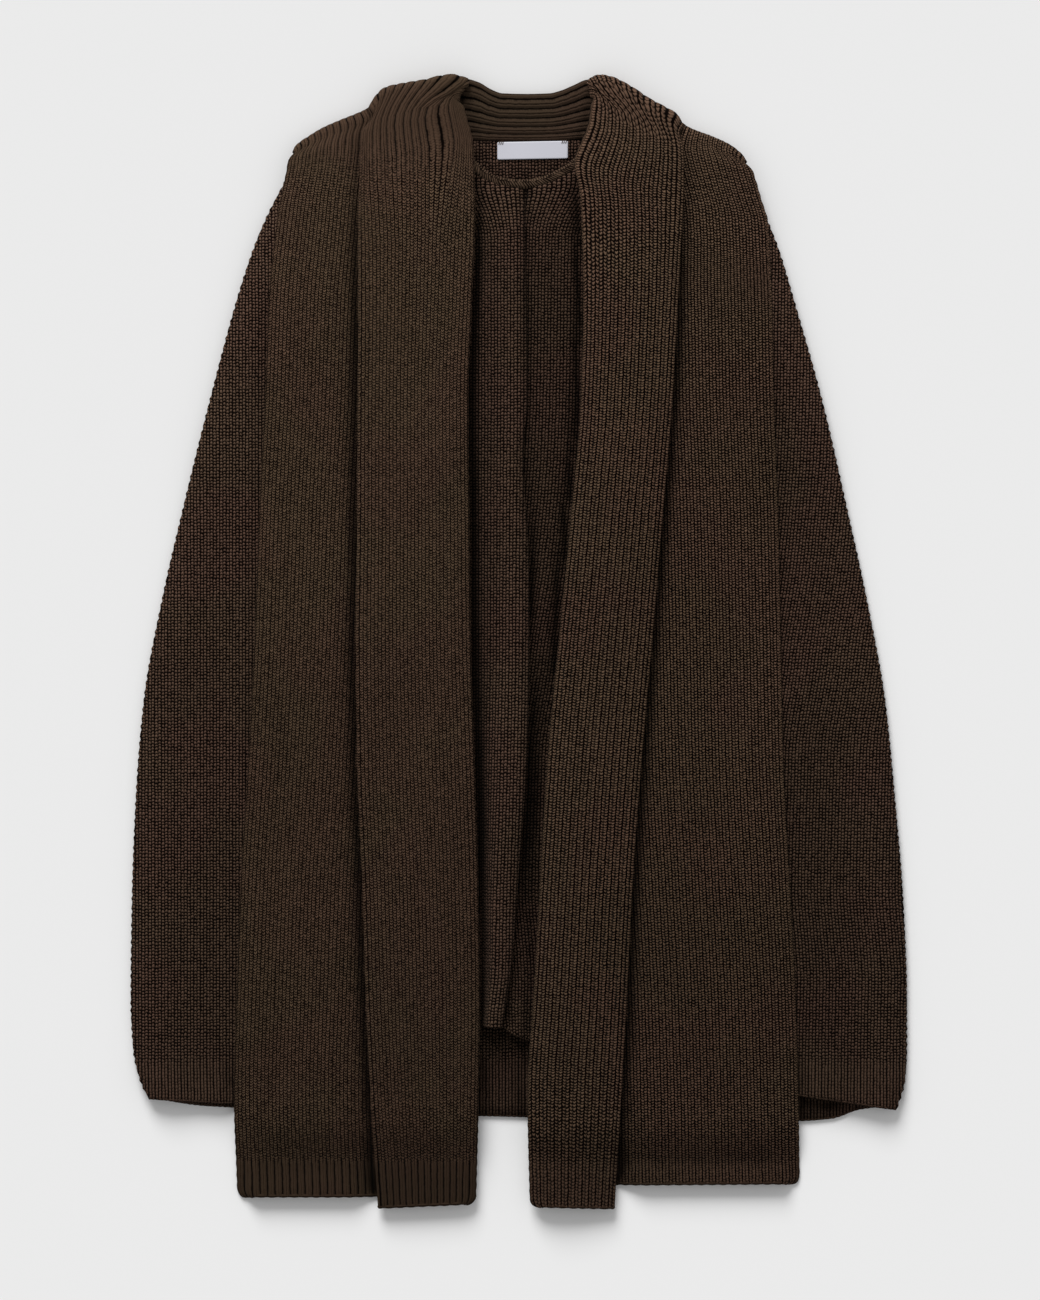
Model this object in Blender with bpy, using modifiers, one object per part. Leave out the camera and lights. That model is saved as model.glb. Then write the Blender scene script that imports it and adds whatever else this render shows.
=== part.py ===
"""A knit cape with a long ribbed scarf sewn to its back neck, laid flat on its back.

The tables and sizes below are in millimetres, and the meshes are in metres. X runs across the cape, Y
runs from the hems to the neck, and Z runs up from the surface that the cape lies on. Left and right are
the sides seen from above. The origin is at the bottom centre of the cape's box.
"""

import math

import bmesh
import bpy
import numpy as np
from mathutils import Matrix, Vector

MM = 0.001

# Cloth
WALL = 3.0
LAYER_GAP = 0.4
SEAM_GAP = 0.35
CURVED_SEAM_GAP = 0.55
RIB_RISE = 0.8

# Heights of the middle of each layer of cloth where nothing lies under the back panel
FALL_HEIGHT = WALL / 2
BACK_HEIGHT = WALL / 2
FRONT_ABOVE_BACK = WALL + 0.5
SCARF_ABOVE_FRONT = WALL + 0.6
FALL_LIFT = WALL + LAYER_GAP
LIFT_STARTS = 155.0
LIFT_ENDS = 85.0

# Scarf
DROPS_FROM = {"left": -382.0, "right": -386.0}
SCARF_TURN = 1.8
SCARF_DROOP = 24.0
TOP_LAYER_RIBS = 9
LOWER_LAYER_RIBS = 9
FOLD_MARGIN = 8.0
FOLD_LAP = 0.02
LEAST_OVERLAP = 0.6
STAND_TURN = 3.4
STAND_RIBS = 5
STAND_SECTIONS = 10
STAND_SEAM = (-40.0, 55.0)
TURN_SECTIONS = 5
TURN_INSET = 9.0
TURN_STEP = 45
DROP_LENGTH = 32.0
FALL_SHAPE = 2.5
FALL_END = 6.0
FALL_FREE_EDGE = 163.0

# Body panels: the front's side edges curl over the edges of the back
CURL = FRONT_ABOVE_BACK / 2
BACK_INSET = WALL / 2 + CURL + 1.2
FOLD_TURN_TOP = 1.9
FOLD_TURN_HEM = 2.8
VALLEY_BESIDE_SCARF = 3.2

# Columns of the body panels' meshes: shares of a panel's width, and places along the neck and shoulders
LEFT_SHARES = (0.0, 0.29, 0.59, 0.86, 0.9, 0.93, 0.972, 1.0)
RISE_SHARES = (0.8, 0.6, 0.45, 0.3, 0.15, 0.0)
FOLD_FOOT_X = 6.0
RIGHT_TOP_X = (18.0, 30.0, 37.0, 44.5, 52.6, 59.6, 66.0, 103.0, 140.0, 175.75)
BACK_LEFT_X = (-135.0, -92.0)
BACK_RIGHT_X = (105.0, 142.0)
LEVEL_ROWS = (300.0, 230.0, LIFT_STARTS, LIFT_ENDS, 10.0, -65.0, -140.0, -215.0, -280.0)

# Neckband and label
NECKBAND_RADIUS = 2.6
LABEL_SIZE = (56.5, 14.0, 0.8)
LABEL_ROUNDING = 0.25
LABEL_MIDDLE = (11.3, 394.0)

# Middle of the cape's box in the tables' own frame, which becomes the origin
BOX_MIDDLE = (0.25, 0.74, 0.0)

# Colours
BROWN_BODY = (0.029, 0.020, 0.014)
BROWN_SCARF = (0.027, 0.016, 0.010)
BROWN_TRIM = (0.022, 0.014, 0.009)
LABEL_GREY = (0.60, 0.60, 0.66)


def table(columns, rows):
    """Keep a short table as one list of numbers for each named column."""
    return {name: [row[at] for row in rows] for at, name in enumerate(columns.split())}


BODY_EDGES = table("y left right", [
    (390.0, -177.0, 179.0),
    (367.0, -188.5, 187.0),
    (339.5, -202.5, 199.0),
    (314.0, -213.0, 209.0),
    (274.0, -226.0, 221.0),
    (194.0, -247.5, 243.5),
    (114.0, -267.5, 262.0),
    (34.0, -286.0, 279.5),
    (-46.0, -300.5, 294.0),
    (-126.0, -307.0, 302.0),
    (-206.0, -310.0, 308.5),
    (-286.0, -311.0, 311.5),
    (-326.0, -309.0, 311.5),
    (-350.0, -303.5, 310.0),
    (-374.0, -291.0, 303.0),
])

SHOULDERS = table("x y", [
    (-177.0, 389.0),
    (-53.0, 408.5),
    (67.0, 407.0),
    (179.0, 380.5),
])

NECKBAND_ROUTE = table("x y thickness", [
    (-47.0, 402.0, 0.63),
    (-42.5, 391.0, 0.63),
    (-36.5, 382.5, 0.66),
    (-27.0, 374.0, 0.95),
    (-15.0, 368.5, 1.0),
    (4.5, 366.5, 1.0),
    (21.0, 369.5, 1.0),
    (33.0, 375.0, 0.95),
    (43.5, 381.5, 0.68),
    (51.0, 389.5, 0.63),
    (58.0, 400.0, 0.63),
])

BACK_NECK = table("x y", [
    (-51.0, 409.0),
    (-37.0, 403.0),
    (-19.0, 401.0),
    (3.5, 400.0),
    (30.0, 401.0),
    (54.0, 403.0),
    (65.0, 408.0),
])

FRONT_HEM = table("x y", [
    (-297.0, -365.0),
    (-267.0, -367.0),
    (-225.0, -369.0),
    (-151.0, -354.0),
    (-79.0, -323.0),
    (-31.0, -307.0),
    (-12.5, -308.0),
    (-5.0, -313.0),
    (9.0, -319.5),
    (65.0, -334.0),
    (145.0, -351.5),
    (225.0, -363.0),
    (281.0, -371.0),
    (303.0, -374.0),
])

BACK_HEM = table("x y", [
    (-297.0, -363.5),
    (-251.0, -371.0),
    (-135.0, -375.5),
    (-31.0, -379.0),
    (113.0, -382.0),
    (225.0, -383.0),
    (253.0, -381.0),
    (273.0, -374.0),
    (297.0, -371.0),
])

CENTRE_FOLD = table("y x degrees overlap", [
    (363.0, 4.5, 20.0, 0.0),
    (330.0, 5.0, 80.0, 0.0),
    (194.0, 7.0, 105.0, 0.0),
    (152.0, 4.0, 120.0, 0.5),
    (58.0, 8.5, 160.0, 2.0),
    (-14.0, 9.0, 180.0, 5.0),
    (-89.0, 7.0, 180.0, 9.0),
    (-196.0, -0.5, 180.0, 8.0),
    (-250.0, -4.5, 180.0, 5.0),
    (-308.0, -13.0, 180.0, 2.0),
])

STRETCH_COLUMNS = "inner_x inner_y y fold_x outer_x outer_y under_y"

LEFT_STRETCH = table(STRETCH_COLUMNS, [
    (-43.0, 426.0, 408.5, -122.0, -179.5, 383.0, 408.5),
    (-38.0, 406.0, 386.0, -125.5, -184.0, 369.0, 386.0),
    (-36.5, 382.0, 362.0, -127.0, -190.0, 350.0, 362.0),
    (-36.5, 342.0, 330.0, -127.5, -194.0, 326.0, 330.0),
    (-39.5, 274.0, 274.0, -128.0, -199.0, 274.0, 274.0),
    (-41.0, 194.0, 194.0, -128.5, -202.0, 194.0, 194.0),
    (-40.0, 98.0, 98.0, -129.0, -207.0, 98.0, 98.0),
    (-39.0, 2.0, 2.0, -130.0, -210.5, 2.0, 2.0),
    (-36.0, -94.0, -94.0, -129.0, -215.5, -94.0, -94.0),
    (-33.0, -190.0, -190.0, -125.0, -221.5, -190.0, -190.0),
    (-31.5, -286.0, -286.0, -122.0, -225.0, -286.0, -286.0),
    (-32.5, -358.0, -358.0, -118.5, -227.0, -358.0, -358.0),
    (-35.0, -449.0, -452.5, -112.5, -224.5, -443.5, -443.5),
])

RIGHT_STRETCH = table(STRETCH_COLUMNS, [
    (58.0, 427.5, 394.0, 130.5, 187.0, 370.0, 394.0),
    (51.5, 403.5, 370.0, 132.0, 193.5, 351.5, 370.0),
    (45.0, 383.5, 350.0, 131.5, 199.0, 335.0, 350.0),
    (50.0, 354.0, 322.0, 130.0, 200.5, 306.0, 322.0),
    (52.5, 274.0, 274.0, 127.5, 202.0, 274.0, 274.0),
    (50.5, 194.0, 194.0, 123.0, 203.5, 194.0, 194.0),
    (42.5, 98.0, 98.0, 115.0, 207.0, 98.0, 98.0),
    (33.0, 2.0, 2.0, 107.0, 209.0, 2.0, 2.0),
    (24.0, -94.0, -94.0, 98.5, 211.0, -94.0, -94.0),
    (18.0, -190.0, -190.0, 91.5, 216.0, -190.0, -190.0),
    (12.5, -286.0, -286.0, 86.5, 221.0, -286.0, -286.0),
    (8.0, -358.0, -358.0, 82.5, 223.0, -358.0, -358.0),
    (10.0, -451.0, -453.0, 77.0, 224.5, -433.0, -434.0),
])

# The turned-over top edge of each stretch: share is 0 at the inner edge, 1 at the fold and 2 at the outer
# edge, and lean is the direction, in degrees from +X, in which the edge faces.
LEFT_TOP = table("share x y lean", [
    (0.0, -39.0, 449.5, 84.0),
    (0.2, -54.0, 453.5, 88.0),
    (0.45, -74.0, 450.0, 95.0),
    (0.75, -97.0, 446.0, 104.0),
    (1.0, -115.0, 436.0, 112.0),
    (1.1, -122.0, 428.0, 114.0),
    (1.5, -146.0, 416.0, 117.0),
    (2.0, -175.0, 401.0, 120.0),
])

RIGHT_TOP = table("share x y lean", [
    (0.0, 54.0, 450.0, 96.0),
    (0.2, 67.0, 454.0, 88.0),
    (0.45, 85.0, 446.0, 76.0),
    (0.75, 106.0, 434.0, 66.0),
    (1.0, 126.0, 421.0, 60.0),
    (1.1, 133.0, 415.0, 59.0),
    (1.5, 154.0, 405.0, 58.0),
    (2.0, 177.0, 391.5, 56.0),
])

STAND_TOP = table("x y", [
    (-38.3, 450.5),
    (-32.5, 448.5),
    (-23.0, 443.0),
    (-13.0, 439.5),
    (6.0, 439.0),
    (25.0, 439.5),
    (35.0, 442.0),
    (44.5, 446.0),
    (53.3, 450.5),
])


def curve_through(keys, values, key):
    """Read a smooth curve through a few points, with no ripple between them."""
    order = np.argsort(keys)
    x = np.array(keys, dtype=float)[order]
    y = np.array(values, dtype=float)[order]
    key = min(max(key, x[0]), x[-1])
    rise = np.diff(y) / np.diff(x)
    slope = np.concatenate(([rise[0]], np.zeros(len(x) - 2), [rise[-1]]))
    for at in range(1, len(x) - 1):
        if rise[at - 1] * rise[at] > 0:
            slope[at] = 2 * rise[at - 1] * rise[at] / (rise[at - 1] + rise[at])
    at = min(int(np.searchsorted(x, key, side="right")) - 1, len(x) - 2)
    span = x[at + 1] - x[at]
    t = (key - x[at]) / span
    start = (1 + 2 * t) * (1 - t) ** 2 * y[at] + t * (1 - t) ** 2 * span * slope[at]
    end = t * t * (3 - 2 * t) * y[at + 1] + t * t * (t - 1) * span * slope[at + 1]
    return float(start + end)


def read(rows, column, key_column, key):
    return curve_through(rows[key_column], rows[column], key)


def ease(t):
    t = min(max(t, 0.0), 1.0)
    return t * t * (3 - 2 * t)


def blend(a, b, t):
    return a + (b - a) * t


def lift(y):
    """Height that the turned-down scarf under the back panel adds to every layer above it."""
    share = (y - LIFT_ENDS) / (LIFT_STARTS - LIFT_ENDS)
    return FALL_LIFT * min(max(share, 0.0), 1.0)


def back_height(y):
    return BACK_HEIGHT + lift(y)


def front_height(y):
    return back_height(y) + FRONT_ABOVE_BACK


def knit(name, colour, roughness):
    material = bpy.data.materials.new(name)
    material.use_nodes = True
    shader = material.node_tree.nodes["Principled BSDF"]
    shader.inputs["Base Color"].default_value = (*colour, 1.0)
    shader.inputs["Roughness"].default_value = roughness
    shader.inputs["Metallic"].default_value = 0.0
    material.diffuse_color = (*colour, 1.0)
    return material


def add_mesh(name, mesh, material, collection):
    mesh.name = name
    mesh.transform(Matrix.Translation(-Vector(BOX_MIDDLE) * MM))
    piece = bpy.data.objects.new(name, mesh)
    collection.objects.link(piece)
    mesh.materials.append(material)
    mesh.shade_smooth()
    return piece


def wall(grid, crests=(), rib_shares=None, half=WALL / 2):
    """Make a closed wall on a grid of its middle points, whose rows run across the cloth.

    The outer face is raised at each column in crests, by the row's share of a rib's height, and the plain
    inner face leaves those columns out.
    """
    middle = np.array(grid, dtype=float)
    rows, columns = middle.shape[:2]
    down = np.gradient(middle, axis=0)
    across = np.gradient(middle, axis=1)
    normals = np.cross(down, across)
    normals /= np.linalg.norm(normals, axis=2, keepdims=True)
    ribs = np.outer(rib_shares or [1.0] * rows, [RIB_RISE * (at in crests) for at in range(columns)])
    outer = middle + normals * (half + ribs)[:, :, None]
    inner = middle - normals * half
    kept = [at for at in range(columns) if at not in crests]

    shape = bmesh.new()
    outer_points = [[shape.verts.new(Vector(point) * MM) for point in row] for row in outer]
    inner_points = [{at: shape.verts.new(Vector(row[at]) * MM) for at in kept} for row in inner]
    for i in range(rows - 1):
        for j in range(columns - 1):
            corners = (outer_points[i][j], outer_points[i + 1][j])
            shape.faces.new((*corners, outer_points[i + 1][j + 1], outer_points[i][j + 1]))
        for a, b in zip(kept, kept[1:]):
            corners = (inner_points[i][b], inner_points[i + 1][b])
            shape.faces.new((*corners, inner_points[i + 1][a], inner_points[i][a]))
    for a, b in zip(kept, kept[1:]):
        first = [outer_points[0][j] for j in range(a, b + 1)]
        last = [outer_points[-1][j] for j in range(b, a - 1, -1)]
        shape.faces.new((inner_points[0][b], inner_points[0][a], *first))
        shape.faces.new((inner_points[-1][a], inner_points[-1][b], *last))
    for i in range(rows - 1):
        left = (inner_points[i][0], inner_points[i + 1][0])
        right = (inner_points[i + 1][kept[-1]], inner_points[i][kept[-1]])
        shape.faces.new((*left, outer_points[i + 1][0], outer_points[i][0]))
        shape.faces.new((*right, outer_points[i][-1], outer_points[i + 1][-1]))
    bmesh.ops.recalc_face_normals(shape, faces=shape.faces)
    mesh = bpy.data.meshes.new("wall")
    shape.to_mesh(mesh)
    shape.free()
    return mesh


def soft_fold(edge, height, radius, angle, overlap, straight_steps, turn_steps=5):
    """Work out a fold from the edge of its top layer to the start of its bottom layer.

    The cloth turns down through the angle, runs back under itself by the overlap and turns again, so a
    small angle gives a step and half a turn gives three layers. Points are (across, height, slip), where
    slip grows from 0 to 1 over the middle layer.
    """
    points = []
    for step in range(1, turn_steps + 1):
        heading = angle * step / turn_steps
        drop = radius * (1 - math.cos(heading))
        points.append((edge + radius * math.sin(heading), height - drop, 0.0))
    across, level, _ = points[-1]
    for step in range(1, straight_steps + 1):
        share = step / straight_steps
        run = overlap * share
        points.append((across + run * math.cos(angle), level - run * math.sin(angle), share))
    across, level, _ = points[-1]
    for step in range(1, turn_steps + 1):
        heading = angle * (1 - step / turn_steps)
        run = radius * (math.sin(angle) - math.sin(heading))
        drop = radius * (math.cos(heading) - math.cos(angle))
        points.append((across + run, level - drop, 1.0))
    return points


def fold_height(radius, angle, overlap):
    return 2 * radius * (1 - math.cos(angle)) + overlap * math.sin(angle)


# Body panels


def panel_levels(top, hem):
    """Heights of one column's points: curved rows at the neck and the hem, level rows between them."""
    upper = [blend(top, LEVEL_ROWS[0], share) for share in (0.0, 0.3, 0.65)]
    lower = [blend(LEVEL_ROWS[-1], hem, share) for share in (0.5, 1.0)]
    return [*upper, *LEVEL_ROWS, *lower]


def neckline(offset):
    """The neckband's route moved away from the neck by its own thickness and the offset."""
    x = np.array(NECKBAND_ROUTE["x"])
    y = np.array(NECKBAND_ROUTE["y"])
    thickness = np.array(NECKBAND_ROUTE["thickness"]) * NECKBAND_RADIUS + offset
    along = np.stack([np.gradient(x), np.gradient(y)])
    along /= np.linalg.norm(along, axis=0)
    return {"x": list(x + along[1] * thickness), "y": list(y - along[0] * thickness)}


def shoulder(x):
    return float(np.interp(x, SHOULDERS["x"], SHOULDERS["y"]))


def front_top(x):
    edge = neckline(CURVED_SEAM_GAP + 0.1)
    if edge["x"][0] < x < edge["x"][-1]:
        return curve_through(edge["x"], edge["y"], x)
    return shoulder(x)


def back_top(x):
    if BACK_NECK["x"][0] < x < BACK_NECK["x"][-1]:
        return float(np.interp(x, BACK_NECK["x"], BACK_NECK["y"]))
    return shoulder(x)


def panel_edge(side, y):
    return read(BODY_EDGES, side, "y", y)


def back_edges(y):
    return panel_edge("left", y) + BACK_INSET, panel_edge("right", y) - BACK_INSET


def back_grid():
    left_top, right_top = back_edges(BODY_EDGES["y"][0])
    tops = (left_top, *BACK_LEFT_X, *BACK_NECK["x"], *BACK_RIGHT_X, right_top)
    columns = []
    for top_x in tops:
        share = (top_x - left_top) / (right_top - left_top)
        hem_x = blend(*back_edges(BODY_EDGES["y"][-1]), share)
        column = []
        for y in panel_levels(back_top(top_x), read(BACK_HEM, "y", "x", hem_x)):
            column.append((blend(*back_edges(y), share), y, back_height(y)))
        columns.append(column)
    return [list(row) for row in zip(*columns)]


def fold_at(y):
    """Where the front's middle fold is, and its size, at one height of the cape."""
    angle = math.radians(read(CENTRE_FOLD, "degrees", "y", y))
    overlap = max(read(CENTRE_FOLD, "overlap", "y", y), LEAST_OVERLAP)
    down = (LIFT_STARTS - y) / (LIFT_STARTS - FRONT_HEM["y"][5])
    radius = blend(FOLD_TURN_TOP, FOLD_TURN_HEM, ease(down))
    reach = (radius + WALL / 2) * math.sin(min(angle, math.pi / 2))
    edge = read(CENTRE_FOLD, "x", "y", y) - reach
    return edge, radius, angle, overlap


def front_section(y):
    """Points across the front panel at one height: (x, rise above the panel's own height)."""
    edge, radius, angle, overlap = fold_at(y)
    height = fold_height(radius, angle, overlap)
    left = panel_edge("left", y) + WALL / 2 + CURL
    right = panel_edge("right", y) - WALL / 2 - CURL
    valley = read(LEFT_STRETCH, "inner_x", "y", y) + VALLEY_BESIDE_SCARF
    crest = overlap + radius + 2.0
    curl = [math.radians(degrees) for degrees in (180, 135, 90, 45)]
    section = [(left - CURL * math.sin(turn), CURL * (math.cos(turn) - 1)) for turn in curl]
    for share in LEFT_SHARES:
        section.append((blend(left, valley, share), 0.0))
    for share in RISE_SHARES:
        back = share * (edge - valley)
        fallen = ease((back - crest) / (edge - valley - crest))
        section.append((edge - back, height * (1 - fallen)))
    fold = soft_fold(edge, height, radius, angle, overlap, 2)
    section.extend((across, rise) for across, rise, _ in fold)
    start = section[-1][0]
    for top_x in RIGHT_TOP_X:
        share = (top_x - FOLD_FOOT_X) / (RIGHT_TOP_X[-1] - FOLD_FOOT_X)
        section.append((blend(start, right, share), 0.0))
    section.extend(
        (right + CURL * math.sin(turn), CURL * (math.cos(turn) - 1)) for turn in reversed(curl)
    )
    return section


def front_grid():
    columns = []
    for at in range(len(front_section(0.0))):
        top = SHOULDERS["y"][-1]
        hem = BODY_EDGES["y"][-1]
        for _ in range(6):
            top = front_top(front_section(top)[at][0])
            hem = read(FRONT_HEM, "y", "x", front_section(hem)[at][0])
        column = []
        for y in panel_levels(top, hem):
            x, rise = front_section(y)[at]
            column.append((x, y, front_height(y) + rise))
        columns.append(column)
    return [list(row) for row in zip(*columns)]


# Scarf


def scarf_height(y, drop_from):
    """Middle of the scarf's lowest layer, which comes down to the floor past the hems of the cape."""
    resting = front_height(y) + SCARF_ABOVE_FRONT
    return blend(resting, WALL / 2, ease((drop_from - y) / DROP_LENGTH))


def stretch_profile(width, folded):
    """Across one stretch of scarf, from its inner edge: (share, rise, slip), share 1 at the fold line."""
    angle = math.radians(blend(35.0, 180.0, ease(folded * 2.5)))
    margin = blend(width, FOLD_MARGIN + SCARF_TURN, ease((folded - 0.2) / 0.8))
    reach = (SCARF_TURN + WALL / 2) * math.sin(min(angle, math.pi / 2))
    edge = width - reach
    overlap = max(edge - margin, LEAST_OVERLAP)
    height = fold_height(SCARF_TURN, angle, overlap)
    points = []
    for step in range(2 * TOP_LAYER_RIBS + 1):
        across = edge * step / (2 * TOP_LAYER_RIBS)
        past_fold = edge - across - overlap - SCARF_TURN - 2.0
        points.append((across / width, height * (1 - ease(past_fold / SCARF_DROOP)), 0.0))
    fold = soft_fold(edge, height, SCARF_TURN, angle, overlap, 3)
    points.extend((across / width, rise, slip) for across, rise, slip in fold)
    start = points[-1][0]
    for share in (0.33, 0.67, 1.0):
        points.append((blend(start, 1 + FOLD_LAP, share), 0.0, 1.0))
    for step in range(1, 2 * LOWER_LAYER_RIBS + 1):
        points.append((blend(1 + FOLD_LAP, 2, step / (2 * LOWER_LAYER_RIBS)), 0.0, 1.0))
    return points


def rib_crests(columns):
    """Columns that carry a rib's crest, on the two layers that show; the folds between them are plain."""
    top = range(1, 2 * TOP_LAYER_RIBS, 2)
    lower = range(columns - 2 * LOWER_LAYER_RIBS, columns, 2)
    return {*top, *lower}


def stretch_row(rows, y, profile, drop_from):
    inner = np.array((read(rows, "inner_x", "y", y), read(rows, "inner_y", "y", y)))
    fold = np.array((read(rows, "fold_x", "y", y), y))
    outer = np.array((read(rows, "outer_x", "y", y), read(rows, "outer_y", "y", y)))
    under = read(rows, "under_y", "y", y) - y
    points = []
    for share, rise, slip in profile:
        if share <= 1:
            place = blend(inner, fold, share)
            place[1] += under * slip
        else:
            place = blend(fold + (0.0, under), outer, share - 1)
        points.append((*place, scarf_height(place[1], drop_from) + rise))
    return points


def top_edge(top, share, inset):
    """A point of the turned-over top edge, moved in from its outline."""
    lean = math.radians(read(top, "lean", "share", share))
    x = read(top, "x", "share", share) - math.cos(lean) * inset
    y = read(top, "y", "share", share) - math.sin(lean) * inset
    return x, y


def stretch_top(top, profile):
    """Rows that turn the stretch over its top edge and down behind it."""
    rows = [[(*top_edge(top, share, TURN_INSET), FALL_HEIGHT) for share, _, _ in profile]]
    for degrees in range(180, -1, -TURN_STEP):
        turn = math.radians(degrees)
        row = []
        for share, rise, _ in profile:
            upper = front_height(LIFT_STARTS) + SCARF_ABOVE_FRONT + rise
            radius = (upper - FALL_HEIGHT) / 2
            place = top_edge(top, share, WALL / 2 + radius * (1 - math.sin(turn)))
            row.append((*place, FALL_HEIGHT + radius * (1 + math.cos(turn))))
        rows.append(row)
    return rows


# Rows of a stretch below its top four, with the shares of the three-layer fold and of the ribs' height
# that its first rows have
STRETCH_LEVELS = (274.0, 215.0, LIFT_STARTS, LIFT_ENDS, 10.0, -65.0, -140.0, -215.0, -290.0, -350.0)
STRETCH_WIDTH = 90.0
DROP_SHARES = (0.0, 0.22, 0.45, 0.7, 1.0)
FOLD_STARTS = (0.1, 0.28, 0.5, 0.7, 0.86)
RIBS_START = (0.0, 0.0, 0.0, 0.3, 0.7)


def stretch_mesh(rows, top, drop_from):
    """One stretch down a front, from behind its turned-over top to its hem."""
    drops = [drop_from - DROP_LENGTH * share for share in DROP_SHARES]
    levels = (*rows["y"][:4], *STRETCH_LEVELS, *drops, rows["y"][-1])
    folded = (*FOLD_STARTS, *[1.0] * (len(levels) - len(FOLD_STARTS)))
    grid = stretch_top(top, stretch_profile(STRETCH_WIDTH, 0.0))
    for y, share in zip(levels, folded):
        width = abs(read(rows, "fold_x", "y", y) - read(rows, "inner_x", "y", y))
        grid.append(stretch_row(rows, y, stretch_profile(width, share), drop_from))
    crests = rib_crests(len(grid[0]))
    if rows["inner_x"][0] < 0:
        grid = [list(reversed(row)) for row in grid]
        crests = {len(grid[0]) - 1 - crest for crest in crests}
    rib_shares = [*RIBS_START, *[1.0] * (len(grid) - len(RIBS_START))]
    return wall(grid, crests, rib_shares)


def stand_mesh():
    """The scarf's stand at the back neck: ribs run across it, up its face, over its top and down behind."""
    face_steps = 2 * STAND_RIBS
    upper = FALL_HEIGHT + 2 * STAND_TURN
    columns = []
    for at in range(STAND_SECTIONS + 1):
        share = at / STAND_SECTIONS
        top_x = blend(STAND_TOP["x"][0], STAND_TOP["x"][-1], share)
        seam_x = blend(*STAND_SEAM, share)
        top_y = read(STAND_TOP, "y", "x", top_x)
        seam_y = back_top(seam_x) + CURVED_SEAM_GAP
        face_y = top_y - STAND_TURN - WALL / 2
        low = back_height(LIFT_STARTS)
        column = []
        for step in range(face_steps + 1):
            up = step / face_steps
            place = (blend(seam_x, top_x, up), blend(seam_y, face_y, up))
            column.append((*place, blend(low, upper, ease(up))))
        for step in range(1, TURN_SECTIONS + 1):
            turn = math.pi * step / TURN_SECTIONS
            level = FALL_HEIGHT + STAND_TURN * (1 + math.cos(turn))
            column.append((top_x, face_y + STAND_TURN * math.sin(turn), level))
        column.append((top_x, top_y - TURN_INSET, FALL_HEIGHT))
        columns.append(column)
    ribs = {step for step in range(1, face_steps, 2)}
    return wall(columns, ribs)


# Places along a turned-over top edge, close together where it bends
FALL_SHARES = (0.0, 0.2, 0.4, 0.6, 0.8, 0.9, 1.0, 1.03, 1.06, 1.1, 1.2, 1.4, 1.6, 1.8, 2.0)


def fall_grid():
    """The turned-down stretch behind the back, from the ends of the turned edges to its free edge."""
    inset = TURN_INSET + CURVED_SEAM_GAP
    left = [top_edge(LEFT_TOP, share, inset) for share in reversed(FALL_SHARES)]
    right = [top_edge(RIGHT_TOP, share, inset) for share in FALL_SHARES]
    stand_x = np.linspace(STAND_TOP["x"][0], STAND_TOP["x"][-1], STAND_SECTIONS + 1)[1:-1]
    stand = [(x, read(STAND_TOP, "y", "x", x) - inset) for x in stand_x]
    upper = [(*point, FALL_HEIGHT) for point in (*left, *stand, *right)]
    middle = (upper[0][0] + upper[-1][0]) / 2
    half = (upper[-1][0] - upper[0][0]) / 2
    lower = []
    for x, y, _ in upper:
        reach = max(1 - abs((x - middle) / half) ** FALL_SHAPE, 0.0) ** (1 / FALL_SHAPE)
        lower.append((x, blend(y - FALL_END, FALL_FREE_EDGE, reach), FALL_HEIGHT))
    halfway = [tuple(blend(np.array(a), np.array(b), 0.5)) for a, b in zip(upper, lower)]
    return [upper, halfway, lower]


def neckband_mesh():
    curve = bpy.data.curves.new("neckband", "CURVE")
    curve.dimensions = "3D"
    curve.bevel_depth = NECKBAND_RADIUS * MM
    curve.bevel_resolution = 2
    curve.use_fill_caps = True
    curve.resolution_u = 3
    spline = curve.splines.new("BEZIER")
    spline.bezier_points.add(len(NECKBAND_ROUTE["x"]) - 1)
    floor = back_height(LIFT_STARTS) + WALL / 2 + LAYER_GAP
    route = zip(NECKBAND_ROUTE["x"], NECKBAND_ROUTE["y"], NECKBAND_ROUTE["thickness"])
    for point, (x, y, thickness) in zip(spline.bezier_points, route):
        point.co = Vector((x, y, floor + NECKBAND_RADIUS * thickness)) * MM
        point.radius = thickness
        point.handle_left_type = "AUTO"
        point.handle_right_type = "AUTO"
    holder = bpy.data.objects.new("neckband_route", curve)
    bpy.context.scene.collection.objects.link(holder)
    depsgraph = bpy.context.evaluated_depsgraph_get()
    mesh = bpy.data.meshes.new_from_object(holder.evaluated_get(depsgraph))
    bpy.data.objects.remove(holder)
    shape = bmesh.new()
    shape.from_mesh(mesh)
    bmesh.ops.remove_doubles(shape, verts=shape.verts, dist=0.00001)
    shape.to_mesh(mesh)
    shape.free()
    return mesh


def label_mesh():
    shape = bmesh.new()
    bmesh.ops.create_cube(shape, size=1.0)
    bmesh.ops.scale(shape, verts=shape.verts, vec=Vector(LABEL_SIZE) * MM)
    level = back_height(LIFT_STARTS) + WALL / 2 + SEAM_GAP + LABEL_SIZE[2] / 2
    bmesh.ops.translate(shape, verts=shape.verts, vec=Vector((*LABEL_MIDDLE, level)) * MM)
    mesh = bpy.data.meshes.new("label")
    shape.to_mesh(mesh)
    shape.free()
    return mesh


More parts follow.
